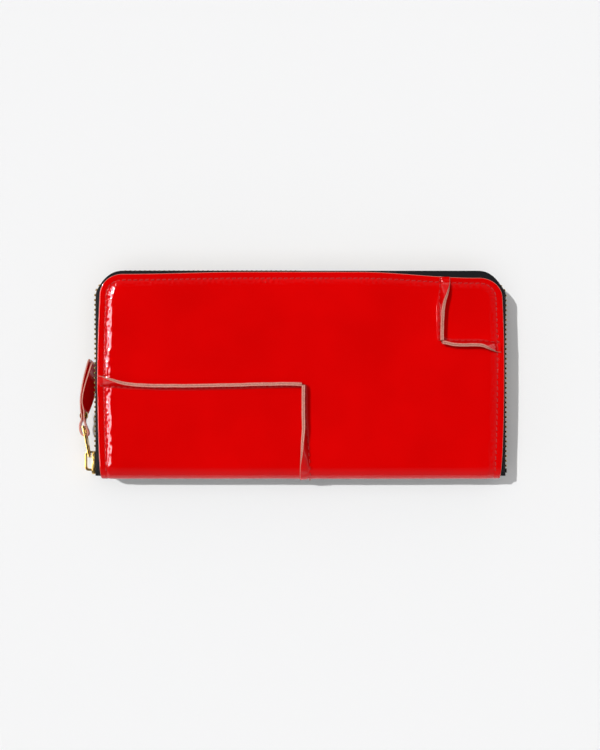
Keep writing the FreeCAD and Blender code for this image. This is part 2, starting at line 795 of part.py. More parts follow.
def thick_line(points, ply):
    """The closed outline of a sheet of even thickness that follows a line of points."""
    points = [Vector(x, y, 0) for x, y in points]
    near, far = [], []
    for i, point in enumerate(points):
        before = (point - points[i - 1]).normalize() if i else None
        after = (points[i + 1] - point).normalize() if i + 1 < len(points) else None
        along = before or after
        if before and after:
            along = (before + after).normalize()
        reach = ply / 2 / max(along.dot(after or before), 0.5)
        side = Vector(-along.y, along.x, 0) * reach
        near.append(point + side)
        far.append(point - side)
    return near + far[::-1]


# the strap's middle line seen from above, from the outer leaf's free end to the inner leaf's.
# The link's bar is at (0, 0).
OUTER_LEAF = [(2.7, 33.6), (1.6, 28.0), (0.4, 21.0), (-0.5, 15.0), (-0.9, 11.0), (-0.95, 8.2)]
LOOP = [(-0.95, 3.5), (-1.4, 2.0), (-1.7, 0.0), (-1.3, -2.4), (-0.3, -3.9), (1.0, -4.3), (2.4, -3.7)]
LOOP += [(3.1, -2.2), (2.9, -0.4), (1.9, 1.4), (0.7, 2.8), (0.2, 3.5)]
INNER_LEAF = [(0.2, 8.2), (0.4, 11.5), (1.1, 17.0), (2.3, 24.0), (4.3, 32.7)]


def make_strap():
    """A leather strap looped round the link's bar and riveted: two leaves, wide at their free ends."""
    outline = thick_line(OUTER_LEAF + LOOP + INNER_LEAF, number("strap_ply"))
    face = Part.Face(Part.makePolygon(outline + outline[:1]))
    strap = face.extrude(Vector(0, 0, 2 * number("strap_width")))
    strap.translate(Vector(0, 0, -number("strap_width")))
    side, neck = number("strap_width/2"), number("strap_neck/2")
    rivet_y, end = number("rivet_y"), OUTER_LEAF[0][1]
    flare_start, flare_end = rivet_y + number("strap_flare_start"), rivet_y + number("strap_flare_end")
    corner = number("strap_corner")
    # the leaf's corners are cut in two short steps, and its outline runs on past the sheet's own ends
    leaf = [(-8, -neck), (rivet_y, -neck), (flare_start, -side + 0.8), (flare_end, -side)]
    leaf += [(end - corner, -side), (end - corner * 0.3, -side + corner * 0.4)]
    leaf += [(end, -side + corner), (end + 2, -side + corner)]
    leaf += [(y, -z) for y, z in reversed(leaf)]
    side_view = Part.Face(Part.makePolygon([Vector(-9, y, z) for y, z in leaf + leaf[:1]]))
    cutter = side_view.extrude(Vector(18, 0, 0))
    bore = Part.makeCylinder(number("rivet_shank/2"), 12, Vector(-6, rivet_y, 0), Vector(1, 0, 0))
    feature = shaped_feature("zip_pull_strap", strap.common(cutter).cut(bore))
    feature.Placement = FreeCAD.Placement(eye_point(), pull_turn())


def make_rivet():
    """A brass rivet through both leaves: a shank between two domed caps."""
    shank, head, cap = number("rivet_shank/2"), number("rivet_head/2"), number("rivet_cap")
    reach = number("strap_ply") + 0.05
    middle = Vector(number("rivet_x"), number("rivet_y"), 0)
    along = Vector(1, 0, 0)
    rivet = Part.makeCylinder(shank, 2 * reach, middle - along * reach, along)
    for sign in (-1, 1):
        foot = middle + along * sign * reach
        rivet = rivet.fuse(Part.makeCone(head, head * 0.55, cap, foot, along * sign))
    feature = shaped_feature("zip_pull_rivet", rivet)
    feature.Placement = FreeCAD.Placement(eye_point(), pull_turn())


# ---------------------------------------------------------------- card slots

STACK = "(leather+board+lining+card_gap)"


def make_card_panel(side, front):
    """A backing sheet sewn over the lining, with four slots stepped down it. Each slot is one ply."""

    def height(text):
        return f"total_thickness-({text})-card_ply" if front else text

    half, low = "card_width/2", f"({LOW}+card_low)"
    top = "(panel_height/2-card_high)"
    outline = [(f"-{half}", low), (half, low), (half, top), (f"-{half}", top)]
    plate(f"{side}_card_backing", outline, "card_ply", height(STACK))
    for slot in range(1, int(number("card_slots")) + 1):
        edge = f"({top}-card_step*{slot})"
        outline = [(f"-{half}", low), (half, low), (half, edge), (f"-{half}", edge)]
        plate(f"{side}_card_slot_{slot}", outline, "card_ply", height(f"{STACK}+card_ply*{slot}"))


# ---------------------------------------------------------------- coin pocket

COIN_LOW = f"({LOW}+coin_low)"
COIN_TOP = "(panel_height/2-coin_high)"
COIN_CHAIN = f"({COIN_TOP}+coin_chain_rise)"


def make_coin_pocket():
    """A flat leather bag, closed at its ends and foot and open along its top, which its own zip closes."""
    body = new_body("coin_pocket_leather", z="total_thickness/2")
    half = "coin_width/2"
    sketch = new_sketch(body, "XY_Plane")
    draw_polygon(sketch, [(f"-{half}", COIN_LOW), (half, COIN_LOW), (half, COIN_TOP), (f"-{half}", COIN_TOP)])
    add_pad(body, sketch, "coin_depth", both_ways=True)
    cavity = new_sketch(body, "XY_Plane")
    inner = f"({half}-coin_wall)"
    foot = f"({COIN_LOW}+coin_wall)"
    mouth = f"{COIN_TOP}+1"
    draw_polygon(cavity, [(f"-{inner}", foot), (inner, foot), (inner, mouth), (f"-{inner}", mouth)])
    add_pocket(body, cavity, "coin_depth-2*coin_wall", both_ways=True)


def make_coin_zip():
    """Two angled tapes lapped over the pocket's walls, each with a row of teeth. The chain faces +Y."""
    wall = "(coin_depth/2)"
    half = "(coin_width/2-coin_wall-0.5)"
    for name, sign in (("coin_zip_tape_back", "-"), ("coin_zip_tape_front", "")):
        body = new_body(name, x=f"-{half}", z="total_thickness/2")
        sketch = new_sketch(body, "YZ_Plane")
        points = [
            (f"{COIN_TOP}-coin_tape_drop", f"{sign}{wall}"),
            (f"{COIN_CHAIN}-coin_tape/2", f"{sign}{wall}"),
            (f"{COIN_CHAIN}-coin_tape/2", f"{sign}coin_chain_gap"),
            (f"{COIN_CHAIN}+coin_tape/2", f"{sign}coin_chain_gap"),
            (f"{COIN_CHAIN}+coin_tape/2", f"{sign}({wall}+coin_tape)"),
            (f"{COIN_TOP}-coin_tape_drop", f"{sign}({wall}+coin_tape)"),
        ]
        draw_polygon(sketch, points)
        add_pad(body, sketch, f"2*{half}")
    depth, gap, tape = number("coin_tooth_depth"), number("coin_chain_gap"), number("coin_tape")
    outline = tooth_outline(depth, number("coin_tooth_grip"), number("coin_tooth_short"), gap, tape)
    length, middle = number("coin_tooth"), number("total_thickness/2")
    margin = number("coin_chain_margin")
    start = margin + number("coin_slider_neck") + length
    total = number("coin_width")

    def at(s):
        return Vector(s - total / 2, number(COIN_CHAIN), 0), 0.0

    half_pitches = evenly(start, total - margin - 2, number("coin_pitch") / 2)
    for name, distances, sign in (
        ("coin_zip_teeth_back", half_pitches[0::2], 1),
        ("coin_zip_teeth_front", half_pitches[1::2], -1),
    ):
        shaped_feature(name, along_path(at, distances, tooth_solid(outline, length, middle, sign)))


COIN_SLIDER_LOW = "(coin_chain_margin-coin_width/2)"
COIN_PLATE_Y = f"({COIN_CHAIN}+coin_slider_cavity/2+coin_slider_plate)"


def make_coin_slider():
    """The coin zip's slider, its outer plate facing +Y, with a small crown and a short flat pull."""
    body = new_body("coin_slider_body", x=COIN_SLIDER_LOW, y=COIN_CHAIN, z="total_thickness/2")
    sketch = new_sketch(body, "YZ_Plane")
    section = slider_section(
        "coin_slider_width",
        "coin_slider_plate",
        "coin_slider_cavity",
        "coin_slider_lip",
        "coin_slider_slot",
        "coin_slider_lip",
    )
    draw_polygon(sketch, section)
    add_pad(body, sketch, "coin_slider_length")
    doc.recompute()
    channel = new_sketch(body, "YZ_Plane")
    channel.setExpression("AttachmentOffset.Base.z", cells("coin_slider_length"))
    room, lip_at = "coin_slider_cavity/2", "(coin_slider_width/2-coin_slider_lip)"
    corners = [(f"-{room}", f"-{lip_at}"), (room, f"-{lip_at}"), (room, lip_at), (f"-{room}", lip_at)]
    draw_polygon(channel, corners)
    add_pocket(body, channel, "coin_slider_length-coin_slider_neck")
    cut_plate_corners(body, "XZ_Plane", "coin_slider_length", "coin_slider_width", "coin_slider_corner", "8")

    centre = f"({COIN_SLIDER_LOW}+coin_slider_length/2)"
    crown = new_body("coin_slider_crown", x=centre, y=COIN_PLATE_Y, z="total_thickness/2")
    sketch = new_sketch(crown, "XY_Plane")
    length = "(coin_slider_length-coin_crown_inset)"
    outline = crown_outline(length, "coin_crown_ply", "coin_crown_rise", "coin_crown_corner")
    draw_polygon(sketch, outline)
    add_pad(crown, sketch, "coin_crown_width", both_ways=True)

    pull = new_body("coin_pull", x=centre, y=f"{COIN_PLATE_Y}+coin_pull_stand", z="total_thickness/2")
    half, rail = "coin_pull_width/2", "(coin_pull_width/2-coin_pull_rail)"
    sketch = new_sketch(pull, "XZ_Plane")
    end = "coin_pull_length"
    outline = [("0", f"-{half}"), (f"{end}-1", f"-{half}"), (end, f"-{half}+1")]
    outline += [(end, f"{half}-1"), (f"{end}-1", half), ("0", half)]
    draw_polygon(sketch, outline)
    add_pad(pull, sketch, "coin_pull_ply", both_ways=True)
    first = "(coin_pull_pin/2)"
    last = f"({end}-coin_pull_end)"
    for start, finish in ((first, f"{first}+coin_pull_window"), (f"{last}-coin_pull_hole", last)):
        sketch = new_sketch(pull, "XZ_Plane")
        draw_polygon(sketch, [(start, f"-{rail}"), (finish, f"-{rail}"), (finish, rail), (start, rail)])
        add_pocket(pull, sketch, "3", both_ways=True)
    sketch = new_sketch(pull, "XY_Plane")
    radius = number("coin_pull_pin/2")
    sketch.addGeometry(Part.Circle(Vector(0, 0, 0), Vector(0, 0, 1), radius))
    sketch.addConstraint(Sketcher.Constraint("Coincident", 0, 3, -1, 1))
    sketch.addConstraint(Sketcher.Constraint("Radius", 0, radius))
    add_pad(pull, sketch, "coin_pull_width", both_ways=True)


# ---------------------------------------------------------------- gussets


def make_gussets():
    """At each end, a folded strip joins each card panel to the coin pocket. It is shut, its fold inwards."""
    cards = f"({STACK}+card_ply*(1+card_slots))"
    pocket = "(total_thickness/2-coin_depth/2)"
    low, high = f"({LOW}+5)", f"({COIN_TOP}-coin_tape_drop-1)"
    outer, fold = "(coin_width/2+2.5)", "(coin_width/2+2.5-gusset_reach)"
    for end, flip in (("left", "-"), ("right", "")):
        for side, front in (("back", False), ("front", True)):

            def height(text):
                return f"total_thickness-({text})" if front else text

            body = new_body(f"{end}_{side}_gusset", y=low)
            sketch = new_sketch(body, "XZ_Plane")
            middle = f"({cards}+{pocket})/2"
            points = [
                (f"{flip}{outer}", height(f"{cards}+0.05")),
                (f"{flip}{fold}", height(f"{middle}-gusset_ply")),
                (f"{flip}({fold}-0.5)", height(middle)),
                (f"{flip}{fold}", height(f"{middle}+gusset_ply")),
                (f"{flip}{outer}", height(f"{pocket}-0.05")),
                (f"{flip}{outer}", height(f"{pocket}-0.05-gusset_ply")),
                (f"{flip}({fold}+1.5)", height(middle)),
                (f"{flip}{outer}", height(f"{cards}+0.05+gusset_ply")),
            ]
            draw_polygon(sketch, points)
            add_pad(body, sketch, f"{high}-{low}", reverse=True)


# ---------------------------------------------------------------- build, check and write


def check_document():
    """Stops if a feature failed, or a node has no valid solid."""
    doc.recompute()
    for item in doc.Objects:
        if {"Invalid", "Error"} & set(item.State):
            raise RuntimeError(f"{item.Name} failed: {item.State}")
    for node in NODES:
        shape = node.Shape
        if shape.isNull() or not shape.isValid() or not shape.Solids:
            raise RuntimeError(f"{node.Label} has no valid solid")


def write_parts():
    os.makedirs("parts", exist_ok=True)
    for old in os.listdir("parts"):
        os.remove(os.path.join("parts", old))
    for node in NODES:
        node.Shape.exportStep(os.path.join("parts", node.Label + ".step"))
    print(f"{len(NODES)} nodes, {sum(len(node.Shape.Solids) for node in NODES)} solids")


make_back_cover()
make_front_cover()
make_spine()
make_stitching()
for tape_name, is_front in (("back_zip_tape", False), ("front_zip_tape", True)):
    make_zip_tape(tape_name, is_front)
make_zip_teeth()
make_slider()
make_main_crown()
make_pull_link()
make_strap()
make_rivet()
make_card_panel("back", False)
make_card_panel("front", True)
make_coin_pocket()
make_coin_zip()
make_coin_slider()
make_gussets()
check_document()
write_parts()
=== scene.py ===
# The looks of a long zip-around wallet in red patent leather, closed and lying on its back cover.
# Lengths are worked out in millimetres and become metres as each mesh is made. X runs along the spine,
# +Y from the spine to the far zip run, +Z from the back cover up to the front one.

import json
import math
from contextlib import contextmanager

import bmesh
import bpy
import numpy as np
from mathutils import Matrix, Vector


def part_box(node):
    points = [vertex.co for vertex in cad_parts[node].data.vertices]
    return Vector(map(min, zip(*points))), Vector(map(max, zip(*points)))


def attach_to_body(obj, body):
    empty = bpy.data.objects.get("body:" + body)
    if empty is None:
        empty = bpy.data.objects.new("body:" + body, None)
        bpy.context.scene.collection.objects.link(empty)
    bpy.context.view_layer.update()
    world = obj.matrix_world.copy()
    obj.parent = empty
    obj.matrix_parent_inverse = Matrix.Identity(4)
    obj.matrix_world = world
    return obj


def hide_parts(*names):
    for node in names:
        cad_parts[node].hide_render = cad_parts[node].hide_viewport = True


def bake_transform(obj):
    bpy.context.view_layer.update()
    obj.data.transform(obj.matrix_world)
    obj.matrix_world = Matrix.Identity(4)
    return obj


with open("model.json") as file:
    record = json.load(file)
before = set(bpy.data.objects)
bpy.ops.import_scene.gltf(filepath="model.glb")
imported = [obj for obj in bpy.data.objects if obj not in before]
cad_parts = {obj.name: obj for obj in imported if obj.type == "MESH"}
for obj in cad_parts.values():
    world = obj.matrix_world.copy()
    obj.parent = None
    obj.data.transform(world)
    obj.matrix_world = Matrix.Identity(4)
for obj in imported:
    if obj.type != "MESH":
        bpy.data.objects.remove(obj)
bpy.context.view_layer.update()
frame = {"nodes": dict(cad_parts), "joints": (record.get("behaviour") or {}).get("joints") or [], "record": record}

MM = 0.001
SEED = 7


def node_box(name):
    """The CAD node's lowest and highest corners in millimetres."""
    return [Vector(corner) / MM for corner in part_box(name)]


# ---------------------------------------------------------------- sizes, from the CAD frame

BACK_LOW, BACK_HIGH = node_box("back_leather_panel")
HALF_W, HALF_H = BACK_HIGH.x, BACK_HIGH.y
TOP = node_box("front_edge_stitching")[1].z
MIDDLE = TOP / 2
CORNER = 11.0
LEATHER = 1.2
CHAIN_OUT = -node_box("zip_slider_body")[0].x - HALF_W - 2.15
STITCH_IN, STITCH_PITCH = 3.0, 2.8
VALLEY_DEPTH, HOLE_DEPTH, ROUNDING = 0.28, 0.32, 0.62
PUCKER_HEIGHT, CREASE_HEIGHT = 0.2, 0.06
LOW_SEAM = node_box("front_low_patch_leather")[1].xy
HIGH_SEAM = node_box("front_high_patch_leather")[0].xy
BEND = 6.0
BEND_Y = -HALF_H + BEND
SPINE_SWELL = 1.7
FLANGE, FLANGE_PLY = 4.8, 0.8
SEAM_SINK, SEAM_RIPPLE = 0.5, 0.10
SEAM_SIDE_STEPS = 7
SEAM_STITCH_UP, SEAM_STITCH_DROP = 1.1, 0.7
FAR_SETBACK, RIGHT_CORNER_CUT = 2.9, 1.3


# ---------------------------------------------------------------- small tools


def smooth_step(low, high, value):
    t = np.clip((value - low) / (high - low), 0.0, 1.0)
    return t * t * (3 - 2 * t)


def bump(value, centre, width):
    return np.exp(-(((value - centre) / width) ** 2))


def make_object(name, points, faces, materials, face_materials=None, smooth=True):
    """A mesh object from points in millimetres."""
    mesh = bpy.data.meshes.new(name)
    mesh.from_pydata([tuple(p) for p in np.asarray(points, float) * MM], [], faces)
    for material in materials:
        mesh.materials.append(material)
    if face_materials is not None:
        mesh.polygons.foreach_set("material_index", face_materials)
    mesh.polygons.foreach_set("use_smooth", [smooth] * len(mesh.polygons))
    mesh.update()
    obj = bpy.data.objects.new(name, mesh)
    bpy.context.scene.collection.objects.link(obj)
    return obj


@contextmanager
def edited(mesh):
    """A bmesh of the mesh, written back at the end."""
    work = bmesh.new()
    work.from_mesh(mesh)
    yield work
    work.to_mesh(mesh)
    work.free()


def make_bevelled(name, outline, depth, matrix, material, bevel, holes=()):
    """A plate with bevelled edges: outline and holes are in its own XY plane, centred on its own Z."""
    curve = bpy.data.curves.new(name, "CURVE")
    curve.dimensions = "2D"
    curve.fill_mode = "BOTH"
    curve.extrude = max(depth / 2 - bevel, 0.001) * MM
    curve.bevel_depth = bevel * MM
    curve.bevel_resolution = 3
    curve.offset = -bevel * MM
    for loop in (outline, *holes):
        spline = curve.splines.new("POLY")
        spline.points.add(len(loop) - 1)
        for point, (x, y) in zip(spline.points, loop):
            point.co = (x * MM, y * MM, 0, 1)
        spline.use_cyclic_u = True
    shell = bpy.data.objects.new(name, curve)
    bpy.context.scene.collection.objects.link(shell)
    bpy.context.view_layer.update()
    mesh = bpy.data.meshes.new_from_object(shell)
    bpy.data.objects.remove(shell)
    with edited(mesh) as work:
        bmesh.ops.remove_doubles(work, verts=work.verts, dist=0.002 * MM)
        bmesh.ops.recalc_face_normals(work, faces=work.faces)
    mesh.transform(matrix_in_metres(matrix))
    mesh.name = name
    mesh.materials.clear()
    mesh.materials.append(material)
    mesh.shade_smooth()
    obj = bpy.data.objects.new(name, mesh)
    bpy.context.scene.collection.objects.link(obj)
    keep_edges_sharp(obj, 50)
    return obj


def matrix_in_metres(matrix):
    moved = matrix.copy()
    moved.translation = matrix.translation * MM
    return moved


def keep_edges_sharp(obj, degrees):
    """Smooth shading that breaks at edges sharper than the angle."""
    limit = math.radians(degrees)
    with edited(obj.data) as work:
        for edge in work.edges:
            edge.smooth = len(edge.link_faces) == 2 and edge.calc_face_angle(0.0) < limit


def fix_normals(obj):
    with edited(obj.data) as work:
        bmesh.ops.recalc_face_normals(work, faces=work.faces)


def merge_close(obj, distance):
    with edited(obj.data) as work:
        bmesh.ops.remove_doubles(work, verts=work.verts, dist=distance * MM)


def join_objects(name, parts):
    """Joins meshes into the first, which takes the name."""
    with bpy.context.temp_override(
        active_object=parts[0], object=parts[0], selected_objects=parts, selected_editable_objects=parts
    ):
        bpy.ops.object.join()
    parts[0].name = name
    parts[0].data.name = name
    return parts[0]


def grid_faces(rows, columns, flip=False):
    """Quads of a grid whose points are stored row by row."""
    first = (np.arange(rows - 1)[:, None] * columns + np.arange(columns - 1)[None, :]).ravel()
    quads = np.stack([first, first + 1, first + columns + 1, first + columns], axis=1)
    return quads[:, ::-1] if flip else quads


def tube_faces(rings, per):
    """Quads between neighbouring closed rings of per points each, stored ring by ring."""
    faces = []
    for i in range(rings - 1):
        for k in range(per):
            a, b = i * per + k, i * per + (k + 1) % per
            faces.append((a, b, b + per, a + per))
    return faces


def last_ring(rings, per):
    return tuple(range((rings - 1) * per, rings * per))


def with_mirror(upper):
    """An outline from its upper half: the half, then its mirror image back to the start."""
    return upper + [(a, -b) for a, b in reversed(upper)]


def arc_points(centre, radius, start, end, count):
    """Points along an arc, with angles in degrees."""
    angles = np.radians(np.linspace(start, end, count))
    return [(centre[0] + radius * math.cos(a), centre[1] + radius * math.sin(a)) for a in angles]


def round_rectangle(low, high, radius, count=6):
    """The outline of a rectangle with round corners."""
    (x0, y0), (x1, y1) = low, high
    corners = ((x1 - radius, y1 - radius, 0), (x0 + radius, y1 - radius, 90))
    corners += ((x0 + radius, y0 + radius, 180), (x1 - radius, y0 + radius, 270))
    points = []
    for x, y, start in corners:
        points += arc_points((x, y), radius, start, start + 90, count)
    return points


# ---------------------------------------------------------------- materials


class Shader:
    """A node material around one Principled shader, with helpers for what its inputs need."""

    def __init__(self, name, colour, roughness, metallic=0.0):
        self.material = bpy.data.materials.new(name)
        self.material.use_nodes = True
        self.tree = self.material.node_tree
        self.shader = self.tree.nodes["Principled BSDF"]
        self.set("Base Color", (*colour, 1.0))
        self.set("Roughness", roughness)
        self.set("Metallic", metallic)
        self.place = self.add("ShaderNodeTexCoord").outputs["Object"]

    def set(self, socket, value):
        self.shader.inputs[socket].default_value = value

    def add(self, kind, **settings):
        node = self.tree.nodes.new(kind)
        for key, value in settings.items():
            if key in node.inputs:
                node.inputs[key].default_value = value
            else:
                setattr(node, key, value)
        return node

    def link(self, output, socket):
        self.tree.links.new(output, socket)

    def stretched(self, scale):
        """Object coordinates in millimetres times scale, per axis."""
        node = self.add("ShaderNodeMapping")
        node.inputs["Scale"].default_value = [s / MM for s in scale]
        self.link(self.place, node.inputs["Vector"])
        return node.outputs["Vector"]

    def noise(self, scale, detail=3.0, rough=0.5, where=(1, 1, 1)):
        """Noise with features about 1/scale millimetres across."""
        node = self.add("ShaderNodeTexNoise", Scale=scale, Detail=detail, Roughness=rough)
        self.link(self.stretched(where), node.inputs["Vector"])
        return node.outputs["Fac"]

    def ramp(self, source, low, high, from_low=0.0, from_high=1.0):
        node = self.add("ShaderNodeMapRange")
        node.inputs["From Min"].default_value = from_low
        node.inputs["From Max"].default_value = from_high
        node.inputs["To Min"].default_value = low
        node.inputs["To Max"].default_value = high
        self.link(source, node.inputs["Value"])
        return node.outputs["Result"]

    def mix(self, factor, first, second):
        node = self.add("ShaderNodeMix", data_type="RGBA")
        self.link(factor, node.inputs["Factor"])
        for socket, colour in ((6, first), (7, second)):
            if isinstance(colour, tuple):
                node.inputs[socket].default_value = (*colour, 1.0)
            else:
                self.link(colour, node.inputs[socket])
        return node.outputs[2]

    def maths(self, operation, first, second):
        node = self.add("ShaderNodeMath", operation=operation)
        for socket, value in zip(node.inputs, (first, second)):
            if isinstance(value, (int, float)):
                socket.default_value = value
            else:
                self.link(value, socket)
        return node.outputs[0]

    def feed(self, socket, output):
        self.link(output, self.shader.inputs[socket])

    def relief(self, height, distance, strength=1.0):
        """Bumps the surface: distance is in millimetres."""
        node = self.add("ShaderNodeBump")
        node.inputs["Strength"].default_value = strength
        node.inputs["Distance"].default_value = distance * MM
        self.link(height, node.inputs["Height"])
        self.feed("Normal", node.outputs["Normal"])


def make_patent():
    """Red patent leather: a wet-looking film over a smooth red skin with a very slight orange peel."""
    s = Shader("patent_red", (0.70, 0.0003, 0.0003), 0.05)
    tone = s.noise(0.035, 2.0)
    patches = s.ramp(tone, 0, 1, 0.3, 0.7)
    s.feed("Base Color", s.mix(patches, (0.665, 0.0002, 0.0002), (0.735, 0.0004, 0.0005)))
    s.set("IOR", 1.45)
    s.set("Specular Tint", (1.0, 0.86, 0.92, 1.0))
    s.relief(s.noise(0.9, 2.0), 0.003, 0.5)
    return s.material


def make_raw_edge():
    """The cut edge of the leather: pale pink core fibres with darker flecks."""
    s = Shader("raw_edge", (0.62, 0.2, 0.15), 0.75)
    fibres = s.noise(1.6, 5.0, 0.7, (1, 1, 3))
    flecks = s.ramp(fibres, 0, 1, 0.3, 0.75)
    s.feed("Base Color", s.mix(flecks, (0.50, 0.105, 0.075), (0.80, 0.40, 0.31)))
    s.relief(fibres, 0.08, 0.8)
    return s.material


def make_painted_gap_shade():
    """Painted shade for the slit between a seam's two plies: a dark colour put where only shade falls."""
    # painted shade: this dark red-brown stands in for the shade inside the slit
    s = Shader("seam_shadow", (0.10, 0.018, 0.015), 0.9)
    s.relief(s.noise(2.5, 3.0), 0.05)
    return s.material


def make_tape_cloth(name, dark, light, across, along):
    """Woven tape: diagonal ribs with fine threads, from the mesh's own cloth coordinates in millimetres. The
    grooves are painted darker as shade; the fuzz's uneven tone is the cloth's own.
    """
    s = Shader(name, dark, 0.86)
    cloth = s.add("ShaderNodeUVMap", uv_map="cloth").outputs["UV"]
    ribs = s.add("ShaderNodeTexWave", wave_type="BANDS", bands_direction="DIAGONAL")
    ribs.inputs["Scale"].default_value = across
    ribs.inputs["Distortion"].default_value = 0.35
    s.link(cloth, ribs.inputs["Vector"])
    threads = s.add("ShaderNodeTexWave", wave_type="BANDS", bands_direction="Y")
    threads.inputs["Scale"].default_value = along
    s.link(cloth, threads.inputs["Vector"])
    weave = s.maths("MULTIPLY", ribs.outputs["Fac"], s.ramp(threads.outputs["Fac"], 0.55, 1.0))
    fuzz = s.noise(2.2, 4.0, 0.65)
    tone = s.maths("MULTIPLY", weave, s.ramp(fuzz, 0.6, 1.2, 0.3, 0.7))
    # painted shade: the colour follows the weave's relief, darker in its grooves, times the cloth's own uneven
    # tone
    s.feed("Base Color", s.mix(tone, dark, light))
    s.set("Specular IOR Level", 0.15)
    s.relief(weave, 0.12, 0.9)
    return s.material


def make_weave(name, dark, light, pitch):
    """Plain woven cloth for CAD nodes, from their own coordinates. The grooves between threads are painted darker
    as shade; the fuzz's uneven tone is the cloth's own.
    """
    s = Shader(name, dark, 0.88)
    bands = []
    for direction in ("X", "Y"):
        wave = s.add("ShaderNodeTexWave", wave_type="BANDS", bands_direction=direction)
        wave.inputs["Scale"].default_value = 1.0 / pitch
        s.link(s.stretched((1, 1, 1)), wave.inputs["Vector"])
        bands.append(wave.outputs["Fac"])
    weave = s.maths("MULTIPLY", *bands)
    fuzz = s.noise(0.6, 4.0, 0.6)
    tone = s.maths("MULTIPLY", weave, s.ramp(fuzz, 0.5, 1.3))
    # painted shade: the colour follows the weave's relief, darker in its grooves, times the cloth's own uneven
    # tone
    s.feed("Base Color", s.mix(tone, dark, light))
    s.relief(weave, 0.05, 0.8)
    return s.material


def make_thread():
    """Red sewing thread with its twist showing as slanted ridges; its grooves are painted darker as shade and its
    ridges lighter.
    """
    s = Shader("red_thread", (0.50, 0.004, 0.008), 0.55)
    s.set("Specular IOR Level", 0.25)
    twist = s.add("ShaderNodeTexWave", wave_type="BANDS", bands_direction="DIAGONAL", Scale=1.6)
    s.link(s.stretched((1, 1, 1)), twist.inputs["Vector"])
    # painted shade and light: the colour follows the twist's relief, darker in its grooves
    s.feed("Base Color", s.mix(twist.outputs["Fac"], (0.42, 0.003, 0.005), (0.74, 0.02, 0.02)))
    s.relief(twist.outputs["Fac"], 0.06, 0.8)
    return s.material


def make_brass():
    """Polished brass with faint die marks and slight tarnish in patches."""
    s = Shader("polished_brass", (0.86, 0.60, 0.25), 0.22, 1.0)
    patches = s.ramp(s.noise(0.5, 4.0, 0.6), 0, 1, 0.35, 0.7)
    s.feed("Base Color", s.mix(patches, (0.80, 0.53, 0.18), (0.66, 0.41, 0.12)))
    s.feed("Roughness", s.ramp(s.noise(1.5, 5.0, 0.7), 0.10, 0.24, 0.3, 0.7))
    s.relief(s.noise(4.0, 2.0, 0.5, (1, 1, 4)), 0.01, 0.5)
    return s.material


def make_inner_leather():
    """Black grained leather: small uneven cells with creases between them, the creases painted darker as shade."""
    s = Shader("inner_leather", (0.018, 0.016, 0.016), 0.5)
    cells = s.add("ShaderNodeTexVoronoi", feature="DISTANCE_TO_EDGE", Scale=1.5)
    s.link(s.stretched((1, 1, 1)), cells.inputs["Vector"])
    crease = s.ramp(cells.outputs["Distance"], 0.0, 1.0, 0.0, 0.12)
    # painted shade: the creases between the cells are darker, where the relief is low
    s.feed("Base Color", s.mix(crease, (0.006, 0.005, 0.005), (0.028, 0.025, 0.025)))
    s.feed("Roughness", s.ramp(s.noise(0.4, 3.0), 0.38, 0.56, 0.3, 0.7))
    s.relief(s.maths("ADD", crease, s.noise(3.0, 3.0)), 0.04, 0.7)
    return s.material


def make_board():
    """Grey fibre board, with flecks pressed into it."""
    s = Shader("stiffener_board", (0.33, 0.31, 0.28), 0.85)
    flecks = s.noise(0.8, 6.0, 0.7, (1, 3, 1))
    tone = s.ramp(flecks, 0, 1, 0.35, 0.65)
    s.feed("Base Color", s.mix(tone, (0.24, 0.22, 0.19), (0.42, 0.39, 0.35)))
    s.relief(flecks, 0.05, 0.7)
    return s.material


PATENT = make_patent()
RAW_EDGE = make_raw_edge()
# painted shade for the slit between a seam's plies
PAINTED_GAP_SHADE = make_painted_gap_shade()
TAPE = make_tape_cloth("zip_tape_cloth", (0.0035, 0.0035, 0.0045), (0.021, 0.021, 0.025), 1.1, 2.4)
LINING = make_weave("lining_twill", (0.014, 0.013, 0.014), (0.05, 0.046, 0.05), 0.5)
COIN_TAPE = make_weave("coin_tape_cloth", (0.014, 0.014, 0.016), (0.055, 0.055, 0.06), 0.6)
THREAD = make_thread()
BRASS = make_brass()
INNER = make_inner_leather()
BOARD = make_board()


def finish_cad_nodes():
    """The CAD nodes that stay visible take their own materials."""
    choices = {
        "inner_leather": INNER,
        "lining": LINING,
        "board": BOARD,
        "polished_brass": BRASS,
        "zip_tape": COIN_TAPE,
        "red_thread": THREAD,
        "patent_leather": PATENT,
    }
    slots = {entry["node"]: entry["material_slot"] for entry in frame["record"]["subparts"]}
    for name, obj in frame["nodes"].items():
        obj.data.materials.clear()
        obj.data.materials.append(choices[slots[name]])


# ---------------------------------------------------------------- the covers' leather


def edge_distance(x, y):
    """How far inside the three open sides a point of the flat outline is."""
    qx, qy = np.abs(x) - (HALF_W - CORNER), y - (HALF_H - CORNER)
    in_corner = (qx > 0) & (qy > 0)
    return np.where(in_corner, CORNER - np.hypot(qx, qy), np.minimum(HALF_W - np.abs(x), HALF_H - y))


def edge_position(x, y):
    """How far along the edge a point is: up the left side, over the far side, down the right side."""
    side, bend = 2 * HALF_H - CORNER, CORNER * math.pi / 2
    far = 2 * (HALF_W - CORNER)
    qx, qy = np.abs(x) - (HALF_W - CORNER), y - (HALF_H - CORNER)
    turn = np.arctan2(np.maximum(qy, 0), np.maximum(qx, 1e-9)) * CORNER
    on_far = (qy > qx) & (qy > 0) & (qx <= 0)
    on_far |= (qx <= 0) & (HALF_H - y < HALF_W - np.abs(x))
    in_corner = (qx > 0) & (qy > 0)
    left_s = np.where(in_corner, side + turn, y + HALF_H)
    half = side + bend + far / 2
    s = np.where(on_far, half - np.abs(x), left_s)
    return np.where(x < 0, s, 2 * half - s)


